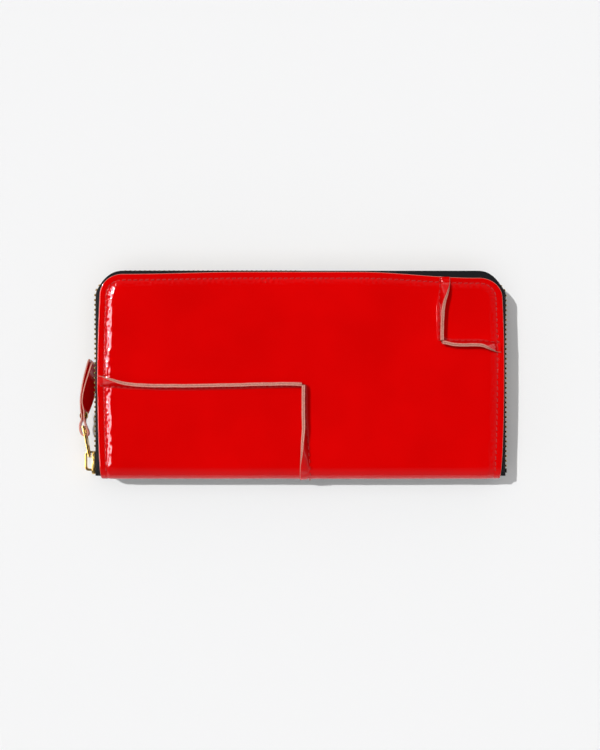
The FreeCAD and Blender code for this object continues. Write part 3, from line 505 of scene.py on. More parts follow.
def side_swell(x, y):
    """How far the left and right sides of the front stand out beyond the plain outline."""
    left = 0.9 - 0.9 * (np.clip(y + 3.0, -40.0, 42.0) / 38.0) ** 2
    right = 1.15 - 1.0 * (np.clip(y, -44.0, 44.0) / 42.0) ** 2
    return np.where(x < 0, left, right)


def far_drop(x):
    """How far the front's far edge falls back from the plain outline, most of all at its right end."""
    return -0.4 - 1.0 * smooth_step(-25.0, -85.0, x) - 2.9 * smooth_step(28.0, 84.0, x)


def settle(x, y):
    """Moves a point of the plain outline to where the soft front cover has it."""
    across = np.abs(x / HALF_W) ** 4
    up = (np.clip(y, 0, None) / HALF_H) ** 3
    return x + np.sign(x) * side_swell(x, y) * across, y + far_drop(x) * up


def waves(x, y, seed, scale):
    """A smooth uneven surface between -1 and 1, from a few crossing waves."""
    dice = np.random.default_rng(seed)
    total = np.zeros(np.broadcast(x, y).shape)
    for _ in range(7):
        angle, phase, size = dice.uniform(0, math.pi), dice.uniform(0, 2 * math.pi), dice.uniform(0.6, 1.6)
        reach = 2 * math.pi / (scale * size)
        total = total + np.sin((x * math.cos(angle) + y * math.sin(angle)) * reach + phase)
    return total / 4.0


def uneven(s, seed, scale):
    """An uneven line between -1 and 1 along one coordinate."""
    return waves(s, s * 0 + 3.7, seed, scale)


def side_fullness(x, y):
    """How full the edge rounding is: less on the left side, beside the level seam and near the spine."""
    beside = smooth_step(-9.0, -4.0, y) * smooth_step(13.0, 8.0, y)
    low = smooth_step(-34.0, -39.0, y)
    return 1 - np.where(x < -70, 0.45 * beside + 0.3 * low, 0.0)


def edge_relief(x, y, seed):
    """The relief near the edge stitching: valley, holes, puckers, creases and the rounded edge."""
    d, s = edge_distance(x, y), edge_position(x, y)
    valley = -VALLEY_DEPTH * bump(d, STITCH_IN, 0.7)
    phase = 2 * math.pi * s / STITCH_PITCH
    holes = -HOLE_DEPTH * bump(d, STITCH_IN, 0.45) * np.clip(np.cos(phase), 0, 1) ** 5
    rounding = -ROUNDING * side_fullness(x, y) * (1 - smooth_step(2.6, 7.4, d))
    strength = 0.55 + 0.45 * uneven(s, seed, 19.0)
    pull = phase + 0.9 * uneven(s + d, seed + 1, 7.0)
    puckers = PUCKER_HEIGHT * strength * np.cos(pull) * bump(d, STITCH_IN + 1.1, 1.2)
    creases = CREASE_HEIGHT * waves(s * 0.9, d * 2.0, seed + 2, 4.2) * bump(d, 5.0, 1.8)
    return valley + holes + rounding + puckers + creases


def seam_pull(x, y):
    """The leather rises slightly where it runs up into a raised seam."""
    total = 0.0
    for corner, toward, lift, width in ((LOW_SEAM, -1, 0.35, 2.6), (HIGH_SEAM, 1, 0.3, 2.4)):
        beside_upright = smooth_step(corner.y - 2 * toward, corner.y + 2 * toward, y)
        beside_level = smooth_step(corner.x - 2 * toward, corner.x + 2 * toward, x)
        upright = lift * bump(x, corner.x + 0.8, width) * beside_upright
        level = lift * bump(y, corner.y, width) * beside_level
        total = total + np.maximum(upright, level)
    return total


def front_height(x, y):
    """The height of the front's outer face over its flat plane."""
    soft = 0.22 * waves(x, y, SEED, 62.0) * smooth_step(8.0, 26.0, edge_distance(x, y))
    return edge_relief(x, y, SEED + 10) + seam_pull(x, y) + soft


def sheet_place(x, v, height, top_face):
    """A point of a cover's sheet. v is y on the flat, and runs on round the bend and down the spine.

    height is measured out of the sheet. The same sheet, turned over, covers the back.
    """
    past = np.maximum(BEND_Y - v, 0)
    turn = np.minimum(past / BEND, math.pi / 2)
    down = np.maximum(past - BEND * math.pi / 2, 0)
    y = np.where(past > 0, BEND_Y - (BEND + height) * np.sin(turn), v)
    z = TOP - BEND + (BEND + height) * np.cos(turn) - down
    y = y - SPINE_SWELL * np.sin(math.pi * np.clip(z / TOP, 0, 1)) * smooth_step(BEND_Y, -HALF_H, y)
    if top_face:
        return np.stack([*settle(x, y), z], axis=-1)
    x2 = x + np.sign(x) * 0.6 * side_swell(x, y) * np.abs(x / HALF_W) ** 4
    return np.stack([x2, y, TOP - z], axis=-1)


def spine_taper(x, v):
    """The sheet narrows a little as it turns onto the spine."""
    return x * (1 - 0.003 * smooth_step(BEND_Y + 6, BEND_Y - 6, v))


SPINE_RUN = TOP / 2 - BEND
SHEET_LOW = BEND_Y - BEND * math.pi / 2 - SPINE_RUN
STEP = 0.42


def round_corner(x, y):
    """Maps a square-cornered grid onto the outline with two round corners."""
    a = np.clip((np.abs(x) - (HALF_W - CORNER)) / CORNER, 0, 1)
    b = np.clip((y - (HALF_H - CORNER)) / CORNER, 0, 1)
    inside = (a > 0) & (b > 0)
    ra, rb = a * np.sqrt(1 - b * b / 2), b * np.sqrt(1 - a * a / 2)
    x2 = np.where(inside, np.sign(x) * (HALF_W - CORNER + CORNER * ra), x)
    y2 = np.where(inside, HALF_H - CORNER + CORNER * rb, y)
    return x2, y2


def steps_between(*stops):
    """Even steps of about STEP that fall exactly on every stop."""
    values = [stops[0]]
    for low, high in zip(stops, stops[1:]):
        count = max(1, round(abs(high - low) / STEP))
        values += list(np.linspace(low, high, count + 1)[1:])
    return np.array(values)


def cover_sheet(columns, rows, height, top_face, rim_sides):
    """One piece of a cover's outer leather, with its thickness shown along the open edges it has."""
    gx, gv = np.meshgrid(columns, rows)
    x, v = round_corner(gx, gv)
    lift = height(x, np.maximum(v, BEND_Y - 3))
    fade = smooth_step(SHEET_LOW + 2, BEND_Y, v)
    points = sheet_place(spine_taper(x, v), v, lift * (0.15 + 0.85 * fade), top_face).reshape(-1, 3)
    count_rows, count_columns = gx.shape
    faces = [tuple(f) for f in grid_faces(count_rows, count_columns, flip=not top_face)]
    kinds = [0] * len(faces)
    index = np.arange(count_rows * count_columns).reshape(count_rows, count_columns)
    loop = []
    if "left" in rim_sides:
        loop += list(index[::-1, 0] if rows[0] > rows[-1] else index[:, 0])
    if "far" in rim_sides:
        top_row = index[0] if rows[0] > rows[-1] else index[-1]
        loop += list(top_row if not loop else top_row[1:])
    if "right" in rim_sides:
        column = index[:, -1] if rows[0] > rows[-1] else index[::-1, -1]
        loop += list(column if not loop else column[1:])
    return add_rim(points, faces, kinds, loop, top_face)


def add_rim(points, faces, kinds, loop, top_face):
    """Turns a sheet's open edge over its own thickness, so that the edge and some of the inside show."""
    edge = points[loop]
    along = np.gradient(edge, axis=0)
    flat_inward = np.stack([along[:, 1], -along[:, 0], np.zeros(len(edge))], axis=1)
    on_spine = np.abs(along[:, 2]) > np.hypot(along[:, 0], along[:, 1])
    flat_inward[on_spine] = 0.0
    flat_inward[on_spine, 0] = -np.sign(edge[on_spine, 0])
    inward = flat_inward / np.maximum(np.linalg.norm(flat_inward, axis=1, keepdims=True), 1e-9)
    into = np.tile([0.0, 0.0, -1.0 if top_face else 1.0], (len(edge), 1))
    turned = smooth_step(BEND_Y, -HALF_H + 0.2, edge[:, 1])[:, None]
    into = into * (1 - turned) + np.array([[0.0, 1.0, 0.0]]) * turned
    into /= np.linalg.norm(into, axis=1, keepdims=True)
    rings = [(-0.14, 0.12), (-0.2, 0.4), (-0.12, 0.8), (0.3, 1.0), (6.0, 1.0)]
    previous = list(loop)
    for inset, depth in rings:
        start = len(points)
        points = np.vstack([points, edge + inward * inset + into * depth])
        ring = list(range(start, start + len(loop)))
        for i in range(len(loop) - 1):
            quad = (previous[i], ring[i], ring[i + 1], previous[i + 1])
            faces.append(quad[::-1] if not top_face else quad)
        kinds += [1 if depth < 1.0 else 0] * (len(loop) - 1)
        previous = ring
    return points, faces, kinds


def dress_sheet(name, columns, rows, height, top_face, rim_sides, nodes, blend_ends):
    """Makes one leather piece and bakes it in place at its fold."""
    points, faces, kinds = cover_sheet(columns, rows, height, top_face, rim_sides)
    obj = make_object(name, points, faces, [PATENT, RAW_EDGE], kinds)
    fix_normals(obj)
    attach(obj, blend_ends, nodes)
    return obj


FRONT_FOLD = ("centre", "front_cover", (0, -HALF_H, TOP - 6.5), (0, BEND_Y + 1.0, TOP))
BACK_FOLD = ("back_cover", "centre", (0, BEND_Y + 1.0, 0), (0, -HALF_H, 6.5))


def attach(obj, body, nodes=()):
    """Ties a piece to a body, or for a fold between two bodies only bakes its place in, and hides the CAD nodes
    that it stands for.
    """
    if isinstance(body, str):
        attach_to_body(obj, body)
    else:
        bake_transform(obj)
    if nodes:
        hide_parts(*nodes)


def make_front_leather():
    """The main panel and its two patches. They meet under the raised seams."""
    far = steps_between(HALF_H, HIGH_SEAM.y)
    near = steps_between(LOW_SEAM.y, SHEET_LOW)
    left = steps_between(-HALF_W, LOW_SEAM.x)
    right = steps_between(LOW_SEAM.x, HALF_W)
    between = steps_between(HIGH_SEAM.y, LOW_SEAM.y)
    whole = np.concatenate([left, right[1:]])
    main_columns = steps_between(-HALF_W, LOW_SEAM.x, HIGH_SEAM.x)
    pieces = [
        (main_columns, far, ("left", "far")),
        (steps_between(-HALF_W, LOW_SEAM.x, HIGH_SEAM.x, HALF_W), between, ("left", "right")),
        (right, near, ("right",)),
    ]
    parts = []
    for number, (columns, rows, rims) in enumerate(pieces):
        if rims == ("left", "right"):
            points, faces, kinds = cover_sheet(columns, rows, front_height, True, ("left",))
            index = np.arange(len(rows) * len(columns)).reshape(len(rows), len(columns))
            points, faces, kinds = add_rim(points, faces, kinds, list(index[:, -1]), True)
        else:
            points, faces, kinds = cover_sheet(columns, rows, front_height, True, rims)
        parts.append(make_object(f"main_part_{number}", points, faces, [PATENT, RAW_EDGE], kinds))
    main = join_objects("front_main_panel", parts)
    merge_close(main, 0.02)
    fix_normals(main)
    attach(main, FRONT_FOLD, ("front_main_leather", "spine_main_leather"))
    dress_sheet(
        "front_low_patch", left, near, front_height, True, ("left",),
        ("front_low_patch_leather", "spine_patch_leather"), FRONT_FOLD,
    )
    dress_sheet(
        "front_high_patch", steps_between(HIGH_SEAM.x, HALF_W), far, front_height, True, ("far", "right"),
        ("front_high_patch_leather",), FRONT_FOLD,
    )


def back_height(x, y):
    """The back is plain. It presses flat where it rests, and turns up a little towards its edges."""
    relief = edge_relief(x, y, SEED + 40)
    return np.minimum(relief, 0.0) * 0.9


def make_back_leather():
    rows = steps_between(HALF_H, SHEET_LOW)
    columns = steps_between(-HALF_W, 0, HALF_W)
    dress_sheet(
        "back_panel", columns, rows, back_height, False, ("left", "far", "right"),
        ("back_leather_panel",), BACK_FOLD,
    )


# ---------------------------------------------------------------- raised seams


def front_point(x, v):
    """A point and the outward normal of the front sheet."""
    x, v = float(x), float(v)

    def plain(b):
        return Vector(sheet_place(np.array(x), np.array(b), np.array(0.0), True))

    along_v = plain(v + 0.6) - plain(v - 0.6)
    normal = Vector((1, 0, 0)).cross(Vector((0, along_v.y, along_v.z))).normalized()
    fade = float(smooth_step(SHEET_LOW + 2, BEND_Y, v))
    height = float(front_height(np.array(x), np.array(max(v, BEND_Y - 3)))) * (0.15 + 0.85 * fade)
    return Vector(sheet_place(np.array(spine_taper(x, v)), np.array(v), np.array(height), True)), normal


def make_seam(name, line, lean, count, wave_seed):
    """A raised seam: two plies of leather side by side, sewn at the foot, with their cut edges on top.

    line(t) gives its foot on the sheet as (x, v), and lean(t) how far its top lies over to its left side, in
    millimetres, for t from 0 to 1. A lean as long as the seam is high lays it flat, pressed thin.
    """
    rings, sections = [], []
    ts = np.linspace(0, 1, count)
    feet = [front_point(*line(t)) for t in ts]
    for i, t in enumerate(ts):
        foot, normal = feet[i]
        ahead = (feet[min(i + 1, count - 1)][0] - feet[max(i - 1, 0)][0]).normalized()
        side = normal.cross(ahead).normalized()
        ripple = SEAM_RIPPLE * float(uneven(np.array(t * count * 0.5), wave_seed, 11.0))
        over = lean(t)
        reach = max(-0.998, min(0.998, over / FLANGE))
        ply = FLANGE_PLY * (1 - 0.6 * abs(reach) ** 6)
        rise = FLANGE * math.sqrt(1 - reach * reach) + (ply + 0.05) * abs(reach) + ripple * (1 - abs(reach))
        sink = SEAM_SINK * abs(reach) ** 6
        top = foot + side * (over + ripple) + normal * (rise - sink)
        foot = foot + side * ply * reach * abs(reach) - normal * sink
        knee = foot + normal * min(1.9, rise * 0.75) + side * over * 0.12
        rings.append(seam_section(foot, knee, top, side, normal, reach, ply))
    per = len(rings[0])
    points = [p for ring in rings for p in ring]
    faces, kinds = [], []
    layout = seam_layout(per)
    for i in range(count - 1):
        for j in range(per - 1):
            a, b = i * per + j, (i + 1) * per + j
            faces.append((a, b, b + 1, a + 1))
            kinds.append(layout[j])
    for end in (0, (count - 1) * per):
        faces.append(tuple(range(end, end + per)))
        kinds.append(1)
    # the third material is painted shade for the slit between the plies
    obj = make_object(name, points, faces, [PATENT, RAW_EDGE, PAINTED_GAP_SHADE], kinds)
    fix_normals(obj)
    keep_edges_sharp(obj, 42)
    return obj


def seam_section(foot, knee, top, side, normal, reach, ply):
    """One cross-section: up the left ply's face, over the two cut edges and down the right ply's face."""
    spine = [foot.lerp(knee, u).lerp(knee.lerp(top, u), u) for u in np.linspace(0, 1, SEAM_SIDE_STEPS)]
    left, right = [], []
    for i, point in enumerate(spine):
        tangent = (spine[min(i + 1, SEAM_SIDE_STEPS - 1)] - spine[max(i - 1, 0)]).normalized()
        outward = (side - tangent * side.dot(tangent)).normalized()
        flare = 0.0 if i else 0.55 * (1 - abs(reach))
        left.append(point + outward * (ply + flare))
        right.append(point - outward * (ply + flare))
    last = (spine[-1] - spine[-2]).normalized()
    out = (side - last * side.dot(last)).normalized()
    crown = spine[-1]
    left[-1], right[-1] = left[-1] - last * 0.06, right[-1] - last * 0.06
    gap = 0.07
    ridge = [
        crown + out * (ply - 0.07) + last * 0.03,
        crown + out * (ply * 0.5) + last * 0.08,
        crown + out * gap + last * 0.0,
        crown + out * gap * 0.6 - last * 0.4,
        crown - out * gap * 0.6 - last * 0.4,
        crown - out * gap + last * 0.0,
        crown - out * (ply * 0.5) + last * 0.08,
        crown - out * (ply - 0.07) + last * 0.03,
    ]
    sink = normal * 0.25
    spread_foot = side * 0.7 * (1 - abs(reach))
    start = [left[0] + spread_foot - sink]
    end = [right[0] - spread_foot - sink]
    return start + left + ridge + right[::-1] + end


def seam_layout(per):
    """Which material each strip of a seam's section takes: 0 leather, 1 cut edge, 2 painted shade in the gap
    between.
    """
    kinds = [0] * (per - 1)
    first = SEAM_SIDE_STEPS
    kinds[first : first + 9] = [1] * 9
    # the middle strips of the crown take the painted shade of the slit
    kinds[first + 3 : first + 6] = [2] * 3
    return kinds


def ease(t, start, end):
    return float(smooth_step(start, end, np.array(t)))


def low_level_line(t):
    x = -HALF_W + 0.8 + (LOW_SEAM.x + HALF_W - 1.15) * t
    dip = 0.5 * float(bump(np.array(x), -60.0, 22.0)) - 0.5 * ease(x, -40, 0)
    return x, LOW_SEAM.y - dip + 0.2


def low_level_lean(t):
    in_from_edge = (low_level_line(t)[0] + HALF_W) / 10.5
    return 0.5 + 4.28 * math.exp(-(max(in_from_edge, 0.0) ** 1.8)) - 0.25 * ease(t, 0.9, 1.0)


def low_upright_line(t):
    v = LOW_SEAM.y + 0.6 + (SHEET_LOW - LOW_SEAM.y - 0.6) * t
    return LOW_SEAM.x + 0.7 + 2.9 * ease(v, -18.0, -49.0), v


def low_upright_lean(t):
    return -(0.35 + 4.44 * ease(t, 0.28, 0.80))


def high_upright_line(t):
    v = HIGH_SEAM.y + 0.6 + (HALF_H - HIGH_SEAM.y - 0.65) * t
    return HIGH_SEAM.x + 0.5, v


def high_upright_lean(t):
    return -(0.1 + 0.6 * ease(t, 0.1, 0.55) + 4.09 * ease(t, 0.42, 0.97))


def high_level_line(t):
    x = HIGH_SEAM.x + 1.0 + (HALF_W - HIGH_SEAM.x - 2.3) * t
    return x, HIGH_SEAM.y + 0.3 - 0.5 * ease(t, 0.0, 0.2)


def high_level_lean(t):
    return -(0.9 + 0.6 * ease(t, 0.0, 0.3) + 3.28 * ease(t, 0.6, 0.95))


def make_raised_seams():
    """The two seams of each patch. Each is laid flat where the edge stitching crosses it."""
    seams = (
        ("low_patch_level_seam", low_level_line, low_level_lean, 190),
        ("low_patch_upright_seam", low_upright_line, low_upright_lean, 120),
        ("high_patch_upright_seam", high_upright_line, high_upright_lean, 80),
        ("high_patch_level_seam", high_level_line, high_level_lean, 74),
    )
    for number, (name, line, lean, count) in enumerate(seams):
        seam = make_seam(name, line, lean, count, SEED + 60 + number)
        attach(seam, FRONT_FOLD)
        stitches = make_seam_stitches(name, line, lean)
        attach(stitches, FRONT_FOLD, ("raised_seam_stitching",))


def capsule(length, radius):
    """Points and faces of a rounded stitch along X."""
    rings, sides = 4, 8
    points, profile = [], []
    for a in np.linspace(-90, 0, rings):
        angle = math.radians(a)
        profile.append((-length / 2 + radius + radius * math.sin(angle), radius * math.cos(angle)))
    profile += [(-x, r) for x, r in reversed(profile)]
    for x, r in profile:
        for k in range(sides):
            turn = 2 * math.pi * k / sides
            points.append((x, max(r, 0.01) * math.cos(turn), max(r, 0.01) * math.sin(turn)))
    faces = tube_faces(len(profile), sides)
    faces += [tuple(range(sides - 1, -1, -1)), last_ring(len(profile), sides)]
    return np.array(points), faces


def spread(name, shape, frames, material, smooth=True):
    """Copies one small shape to many frames, each a 4 by 4 matrix in millimetres, as a single mesh."""
    base, base_faces = shape
    homogeneous = np.hstack([base, np.ones((len(base), 1))])
    matrices = np.array([[list(row) for row in m] for m in frames])
    points = np.einsum("nij,kj->nki", matrices, homogeneous)[:, :, :3].reshape(-1, 3)
    faces = [tuple(v + k * len(base) for v in face) for k in range(len(frames)) for face in base_faces]
    return make_object(name, points, faces, [material], smooth=smooth)


def frame_at(point, forward, up):
    """A frame at a point with X forward and Z up."""
    forward = forward.normalized()
    across = up.cross(forward).normalized()
    up = forward.cross(across)
    matrix = Matrix((forward, across, up)).transposed().to_4x4()
    matrix.translation = point
    return matrix


def make_seam_stitches(name, line, lean):
    """The thread that holds the two plies together shows as short stitches low on both faces."""
    frames = []
    start, _ = front_point(*line(0))
    end, _ = front_point(*line(1))
    count = int((end - start).length / STITCH_PITCH)
    for i in range(count):
        t = (i + 0.5) / count
        foot, normal = front_point(*line(t))
        ahead = front_point(*line(min(t + 0.01, 1)))[0] - front_point(*line(max(t - 0.01, 0)))[0]
        side = normal.cross(ahead).normalized()
        over = lean(t)
        for sign in (1, -1):
            if sign * over > FLANGE * 0.6:
                continue
            pressed = min(1.0, abs(over) / FLANGE) ** 6
            lift = normal * (SEAM_STITCH_UP - SEAM_STITCH_DROP * pressed)
            place = foot + lift + side * (sign * (FLANGE_PLY + 0.02) + over * 0.16)
            frames.append(frame_at(place, ahead, side * sign))
    return spread(name + "_stitches", capsule(1.7, 0.22), frames, THREAD)


# ---------------------------------------------------------------- edge stitching


def edge_route(out):
    """A function from distance to (point, direction) along the covers' edge, and its length.

    The route lies out beyond the edge: up the left side, over the far side and down the right side.
    """
    half, top, radius = HALF_W + out, HALF_H + out, CORNER + out
    side, far, bend = top + HALF_H - radius, 2 * (half - radius), radius * math.pi / 2

    def at(s):
        if s < side:
            return Vector((-half, s - HALF_H, 0)), Vector((0, 1, 0))
        s -= side
        if s < bend:
            a = s / radius
            centre = Vector((radius - half, top - radius, 0))
            outward = Vector((-math.cos(a), math.sin(a), 0))
            return centre + outward * radius, Vector((math.sin(a), math.cos(a), 0))
        s -= bend
        if s < far:
            return Vector((radius - half + s, top, 0)), Vector((1, 0, 0))
        s -= far
        if s < bend:
            a = s / radius
            centre = Vector((half - radius, top - radius, 0))
            outward = Vector((math.sin(a), math.cos(a), 0))
            return centre + outward * radius, Vector((math.cos(a), -math.sin(a), 0))
        s -= bend
        return Vector((half, top - radius - s, 0)), Vector((0, -1, 0))

    return at, 2 * side + 2 * bend + far


def far_share(outward):
    """How much less the zip stands out along the far side and its corners."""
    return FAR_SETBACK * float(smooth_step(0.0, 0.8, np.array(outward.y)))


def right_corner_share(point, outward):
    """How much more the zip cuts in at its right far corner."""
    return RIGHT_CORNER_CUT * float((point.x > 0) * bump(np.array(outward.y), 0.65, 0.3))


def chain_route(out):
    """The edge route pushed out by a length, but less along the far side, and re-measured along itself."""
    at, total = edge_route(0.0)
    samples = np.linspace(0, total, 900)
    track = []
    for s in samples:
        point, ahead = at(s)
        outward = Vector((-ahead.y, ahead.x, 0))
        track.append(point + outward * (out - far_share(outward) - right_corner_share(point, outward)))
    track = np.array([tuple(p) for p in track])
    lengths = np.concatenate([[0], np.cumsum(np.linalg.norm(np.diff(track, axis=0), axis=1))])

    def along(s):
        last, place, following = (
            Vector([float(np.interp(s + step, lengths, track[:, k])) for k in range(3)])
            for step in (-0.5, 0.0, 0.5)
        )
        return place, (following - last).normalized()

    return along, float(lengths[-1])


def make_edge_stitches(name, top_face, body, node):
    """One thread stitch between each two holes, sunk into the valley and slightly slanted."""
    at, total = edge_route(-STITCH_IN)
    dice = np.random.default_rng(SEED + (3 if top_face else 5))
    frames = []
    height = front_height if top_face else back_height
    flaps = flap_spots() if top_face else []
    count = int((total - 5.0) / STITCH_PITCH)
    for i in range(count):
        s = 2.5 + (i + 0.5) * (total - 5.0) / count
        point, ahead = at(s)
        lift = float(height(np.array(point.x), np.array(point.y)))
        place = Vector(sheet_place(np.array(point.x), np.array(point.y), np.array(lift), top_face))
        up = Vector((0, 0, 1 if top_face else -1))
        if any((place.xy - spot).length < 2.6 for spot in flaps):
            place += up * 0.75
        slant = Matrix.Rotation(math.radians(dice.uniform(4, 9)), 3, up)
        frames.append(frame_at(place + up * 0.02, slant @ ahead, up))
    stitches = spread(name, capsule(2.05, 0.3), frames, THREAD)
    attach(stitches, body, (node,))


def flap_spots():
    """Where the laid-down ends of the raised seams pass under the edge stitching."""
    spots = []
    for line, lean, t in (
        (low_level_line, low_level_lean, STITCH_IN / (HALF_W + LOW_SEAM.x)),
        (high_upright_line, high_upright_lean, 1 - STITCH_IN / (HALF_H - HIGH_SEAM.y)),
        (high_level_line, high_level_lean, 1 - STITCH_IN / (HALF_W - HIGH_SEAM.x)),
    ):
        foot, normal = front_point(*line(t))
        ahead = front_point(*line(min(t + 0.02, 1)))[0] - front_point(*line(max(t - 0.02, 0)))[0]
        side = normal.cross(ahead).normalized()
        spots.append((foot + side * lean(t) * 0.55).xy)
    return spots


# ---------------------------------------------------------------- zip


# (out from the edge, down from the face) along one tape's middle
TAPE_SECTION = [(-6.0, 1.55), (-3.0, 1.5), (0.0, 1.75), (1.4, 3.2), (2.45, 5.4), (2.95, 7.9), (3.1, 10.55)]
TAPE_PLY = 0.6
TAPE_START, TAPE_STEP = 0.4, 1.1
TAPE_SWAY = 0.16
BEAD = 0.42


def smooth_line(points, per_span):
    """A Catmull-Rom curve through points."""
    points = [np.array(p, float) for p in points]
    padded = [2 * points[0] - points[1], *points, 2 * points[-1] - points[-2]]
    result = []
    for i in range(1, len(padded) - 2):
        a, b, c, d = padded[i - 1 : i + 3]
        for u in np.linspace(0, 1, per_span, endpoint=False):
            cubic = -a + 3 * b - 3 * c + d
            square = 2 * a - 5 * b + 4 * c - d
            result.append(0.5 * (2 * b + (c - a) * u + square * u * u + cubic * u ** 3))
    result.append(points[-1])
    return np.array(result)


def tape_profile():
    """One tape's closed section, as (out, up): outer face, the bead at the chain, inner face."""
    line = smooth_line(TAPE_SECTION, 4)
    tangent = np.gradient(line, axis=0)
    tangent /= np.linalg.norm(tangent, axis=1, keepdims=True)
    side = np.stack([tangent[:, 1], -tangent[:, 0]], axis=1)
    bead = [np.array(point) for point in arc_points(line[-1], BEAD, -25, 205, 8)]
    outer = list(line[:-1] + side[:-1] * TAPE_PLY / 2)
    inner = list(line[:-1] - side[:-1] * TAPE_PLY / 2)
    return outer + bead + inner[::-1]


def bend_fall(y):
    """How far the cover's bend has fallen from its flat face at y."""
    past = min(max(BEND_Y - y, 0.0), BEND - 0.2)
    return BEND - math.sqrt(BEND * BEND - past * past)


def make_tape(name, front, body, node):
    """A cloth tape swept round the three open sides, bulging outwards to the chain."""
    profile = tape_profile()
    at, total = edge_route(0.0)
    start, end = TAPE_START, total - TAPE_START
    count = int((end - start) / TAPE_STEP)
    points, cloth = [], []
    lengths = np.concatenate([[0], np.cumsum(np.linalg.norm(np.diff(profile, axis=0), axis=1))])
    seed = SEED + (20 if front else 21)
    for i in range(count + 1):
        s = start + (end - start) * i / count
        point, ahead = at(s)
        outward = Vector((-ahead.y, ahead.x, 0))
        less_here = far_share(outward) + right_corner_share(point, outward)
        sway = TAPE_SWAY * float(uneven(np.array(s), seed, 46.0))
        for k, (out, up) in enumerate(profile):
            loose = sway * max(0.0, min(1.0, (up - 2) / 4)) * max(0.0, min(1.0, (10.5 - up) / 3))
            lift = bend_fall(point.y) * (1 - float(smooth_step(1.6, 6.0, np.array(up))))
            z = TOP - up - lift if front else up + lift
            less = less_here * float(smooth_step(0.5, 6.5, np.array(up)))
            points.append(point + outward * (out - less + loose) + Vector((0, 0, z)))
            cloth.append((s, lengths[k]))
    per = len(profile)
    faces = tube_faces(count + 1, per) + [tuple(range(per)), last_ring(count + 1, per)]
    obj = make_object(name, points, faces, [TAPE])
    layer = obj.data.uv_layers.new(name="cloth")
    for loop in obj.data.loops:
        layer.data[loop.index].uv = cloth[loop.vertex_index]
    fix_normals(obj)
    attach(obj, body, (node,))


def tooth_shape():
    """One brass tooth: X along the chain, Y out of it and Z towards the zip's middle, from the bead."""
    half, depth, reach = 0.56, 1.2, 1.95
    levels = [
        (-1.45, 0.86, 0.80),
        (-1.25, 1.0, 1.0),
        (-0.2, 1.0, 1.0),
        (0.35, 0.96, 0.98),
        (0.8, 0.86, 0.74),
        (1.25, 0.92, 0.62),
        (1.7, 0.86, 0.52),
        (reach, 0.62, 0.34),
    ]
    outline = [(-1, -0.72), (-0.8, -1), (0.8, -1), (1, -0.72), (1, 0.72), (0.8, 1), (-0.8, 1), (-1, 0.72)]
    points = [(x * half * a, y * depth * b, z) for z, a, b in levels for x, y in outline]
    per = len(outline)
    faces = tube_faces(len(levels), per) + [tuple(range(per - 1, -1, -1)), last_ring(len(levels), per)]
    return np.array(points), faces


CHAIN_GAP = 1.4
TOOTH_PITCH = 2.4
SLIDER_LOW, SLIDER_HIGH = node_box("zip_slider_body")


def make_teeth():
    """The two rows mesh along the middle. The front row has no teeth inside the slider."""
    at, total = chain_route(CHAIN_OUT)
    start = SLIDER_LOW.y + HALF_H + 4.4
    end = total - 5.0
    count = round((end - start) / (TOOTH_PITCH / 2))
    past_slider = SLIDER_HIGH.y + HALF_H + 1.0
    rows = {"back_chain": [], "front_chain": []}
    for i in range(count + 1):
        s = start + (end - start) * i / count
        front = i % 2 == 1
        if front and s < past_slider:
            continue
        point, ahead = at(s)
        up = Vector((0, 0, -1 if front else 1))
        place = Vector((point.x, point.y, MIDDLE + (CHAIN_GAP if front else -CHAIN_GAP)))
        rows["front_chain" if front else "back_chain"].append(frame_at(place, ahead, up))
    for name, body, node in (
        ("back_chain", "back_cover", "back_zip_teeth"),
        ("front_chain", "front_cover", "front_zip_teeth"),
    ):
        obj = spread(name, tooth_shape(), rows[name], BRASS)
        keep_edges_sharp(obj, 38)
        attach(obj, body, (node,))


def brass_plate(name, outline, centre, height, bevel):
    """A bevelled brass plate standing with its normal along X: outline is in (y, z) around the centre."""
    turn = Matrix(((0, 0, 1, 0), (1, 0, 0, 0), (0, 1, 0, 0), (0, 0, 0, 1)))
    matrix = Matrix.Translation(centre) @ turn
    return make_bevelled(name, outline, height, matrix, BRASS, bevel)


def slider_outline(length, wide, narrow):
    """A slider's plan: wide and shouldered at the end that parts the teeth, narrower at the other."""
    half = [(0.0, 0.9), (0.25, wide * 0.62), (1.1, wide * 0.93), (2.4, wide), (4.2, wide * 0.97)]
    half += [(length * 0.72, narrow * 1.03), (length - 0.9, narrow)]
    half += [(length - 0.25, narrow * 0.9), (length, narrow * 0.72)]
    return with_mirror([tuple(point) for point in smooth_line(half, 4)])


def band_outline(length, rise, ply, radius):
    """A D-shaped band that stands on y = 0: its outer outline, then back along the inner one."""
    outer = [(-length / 2, -0.2)] + arc_points((-length / 2 + radius, rise - radius), radius, 180, 90, 8)
    outer += arc_points((length / 2 - radius, rise - radius), radius, 90, 0, 8) + [(length / 2, -0.2)]
    inner_half, inner_rise, r = length / 2 - ply, rise - ply, max(radius - ply * 0.6, 0.4)
    inner = [(inner_half, -0.2)] + arc_points((inner_half - r, inner_rise - r), r, 0, 90, 8)
    inner += arc_points((-inner_half + r, inner_rise - r), r, 90, 180, 8) + [(-inner_half, -0.2)]
    return outer + inner


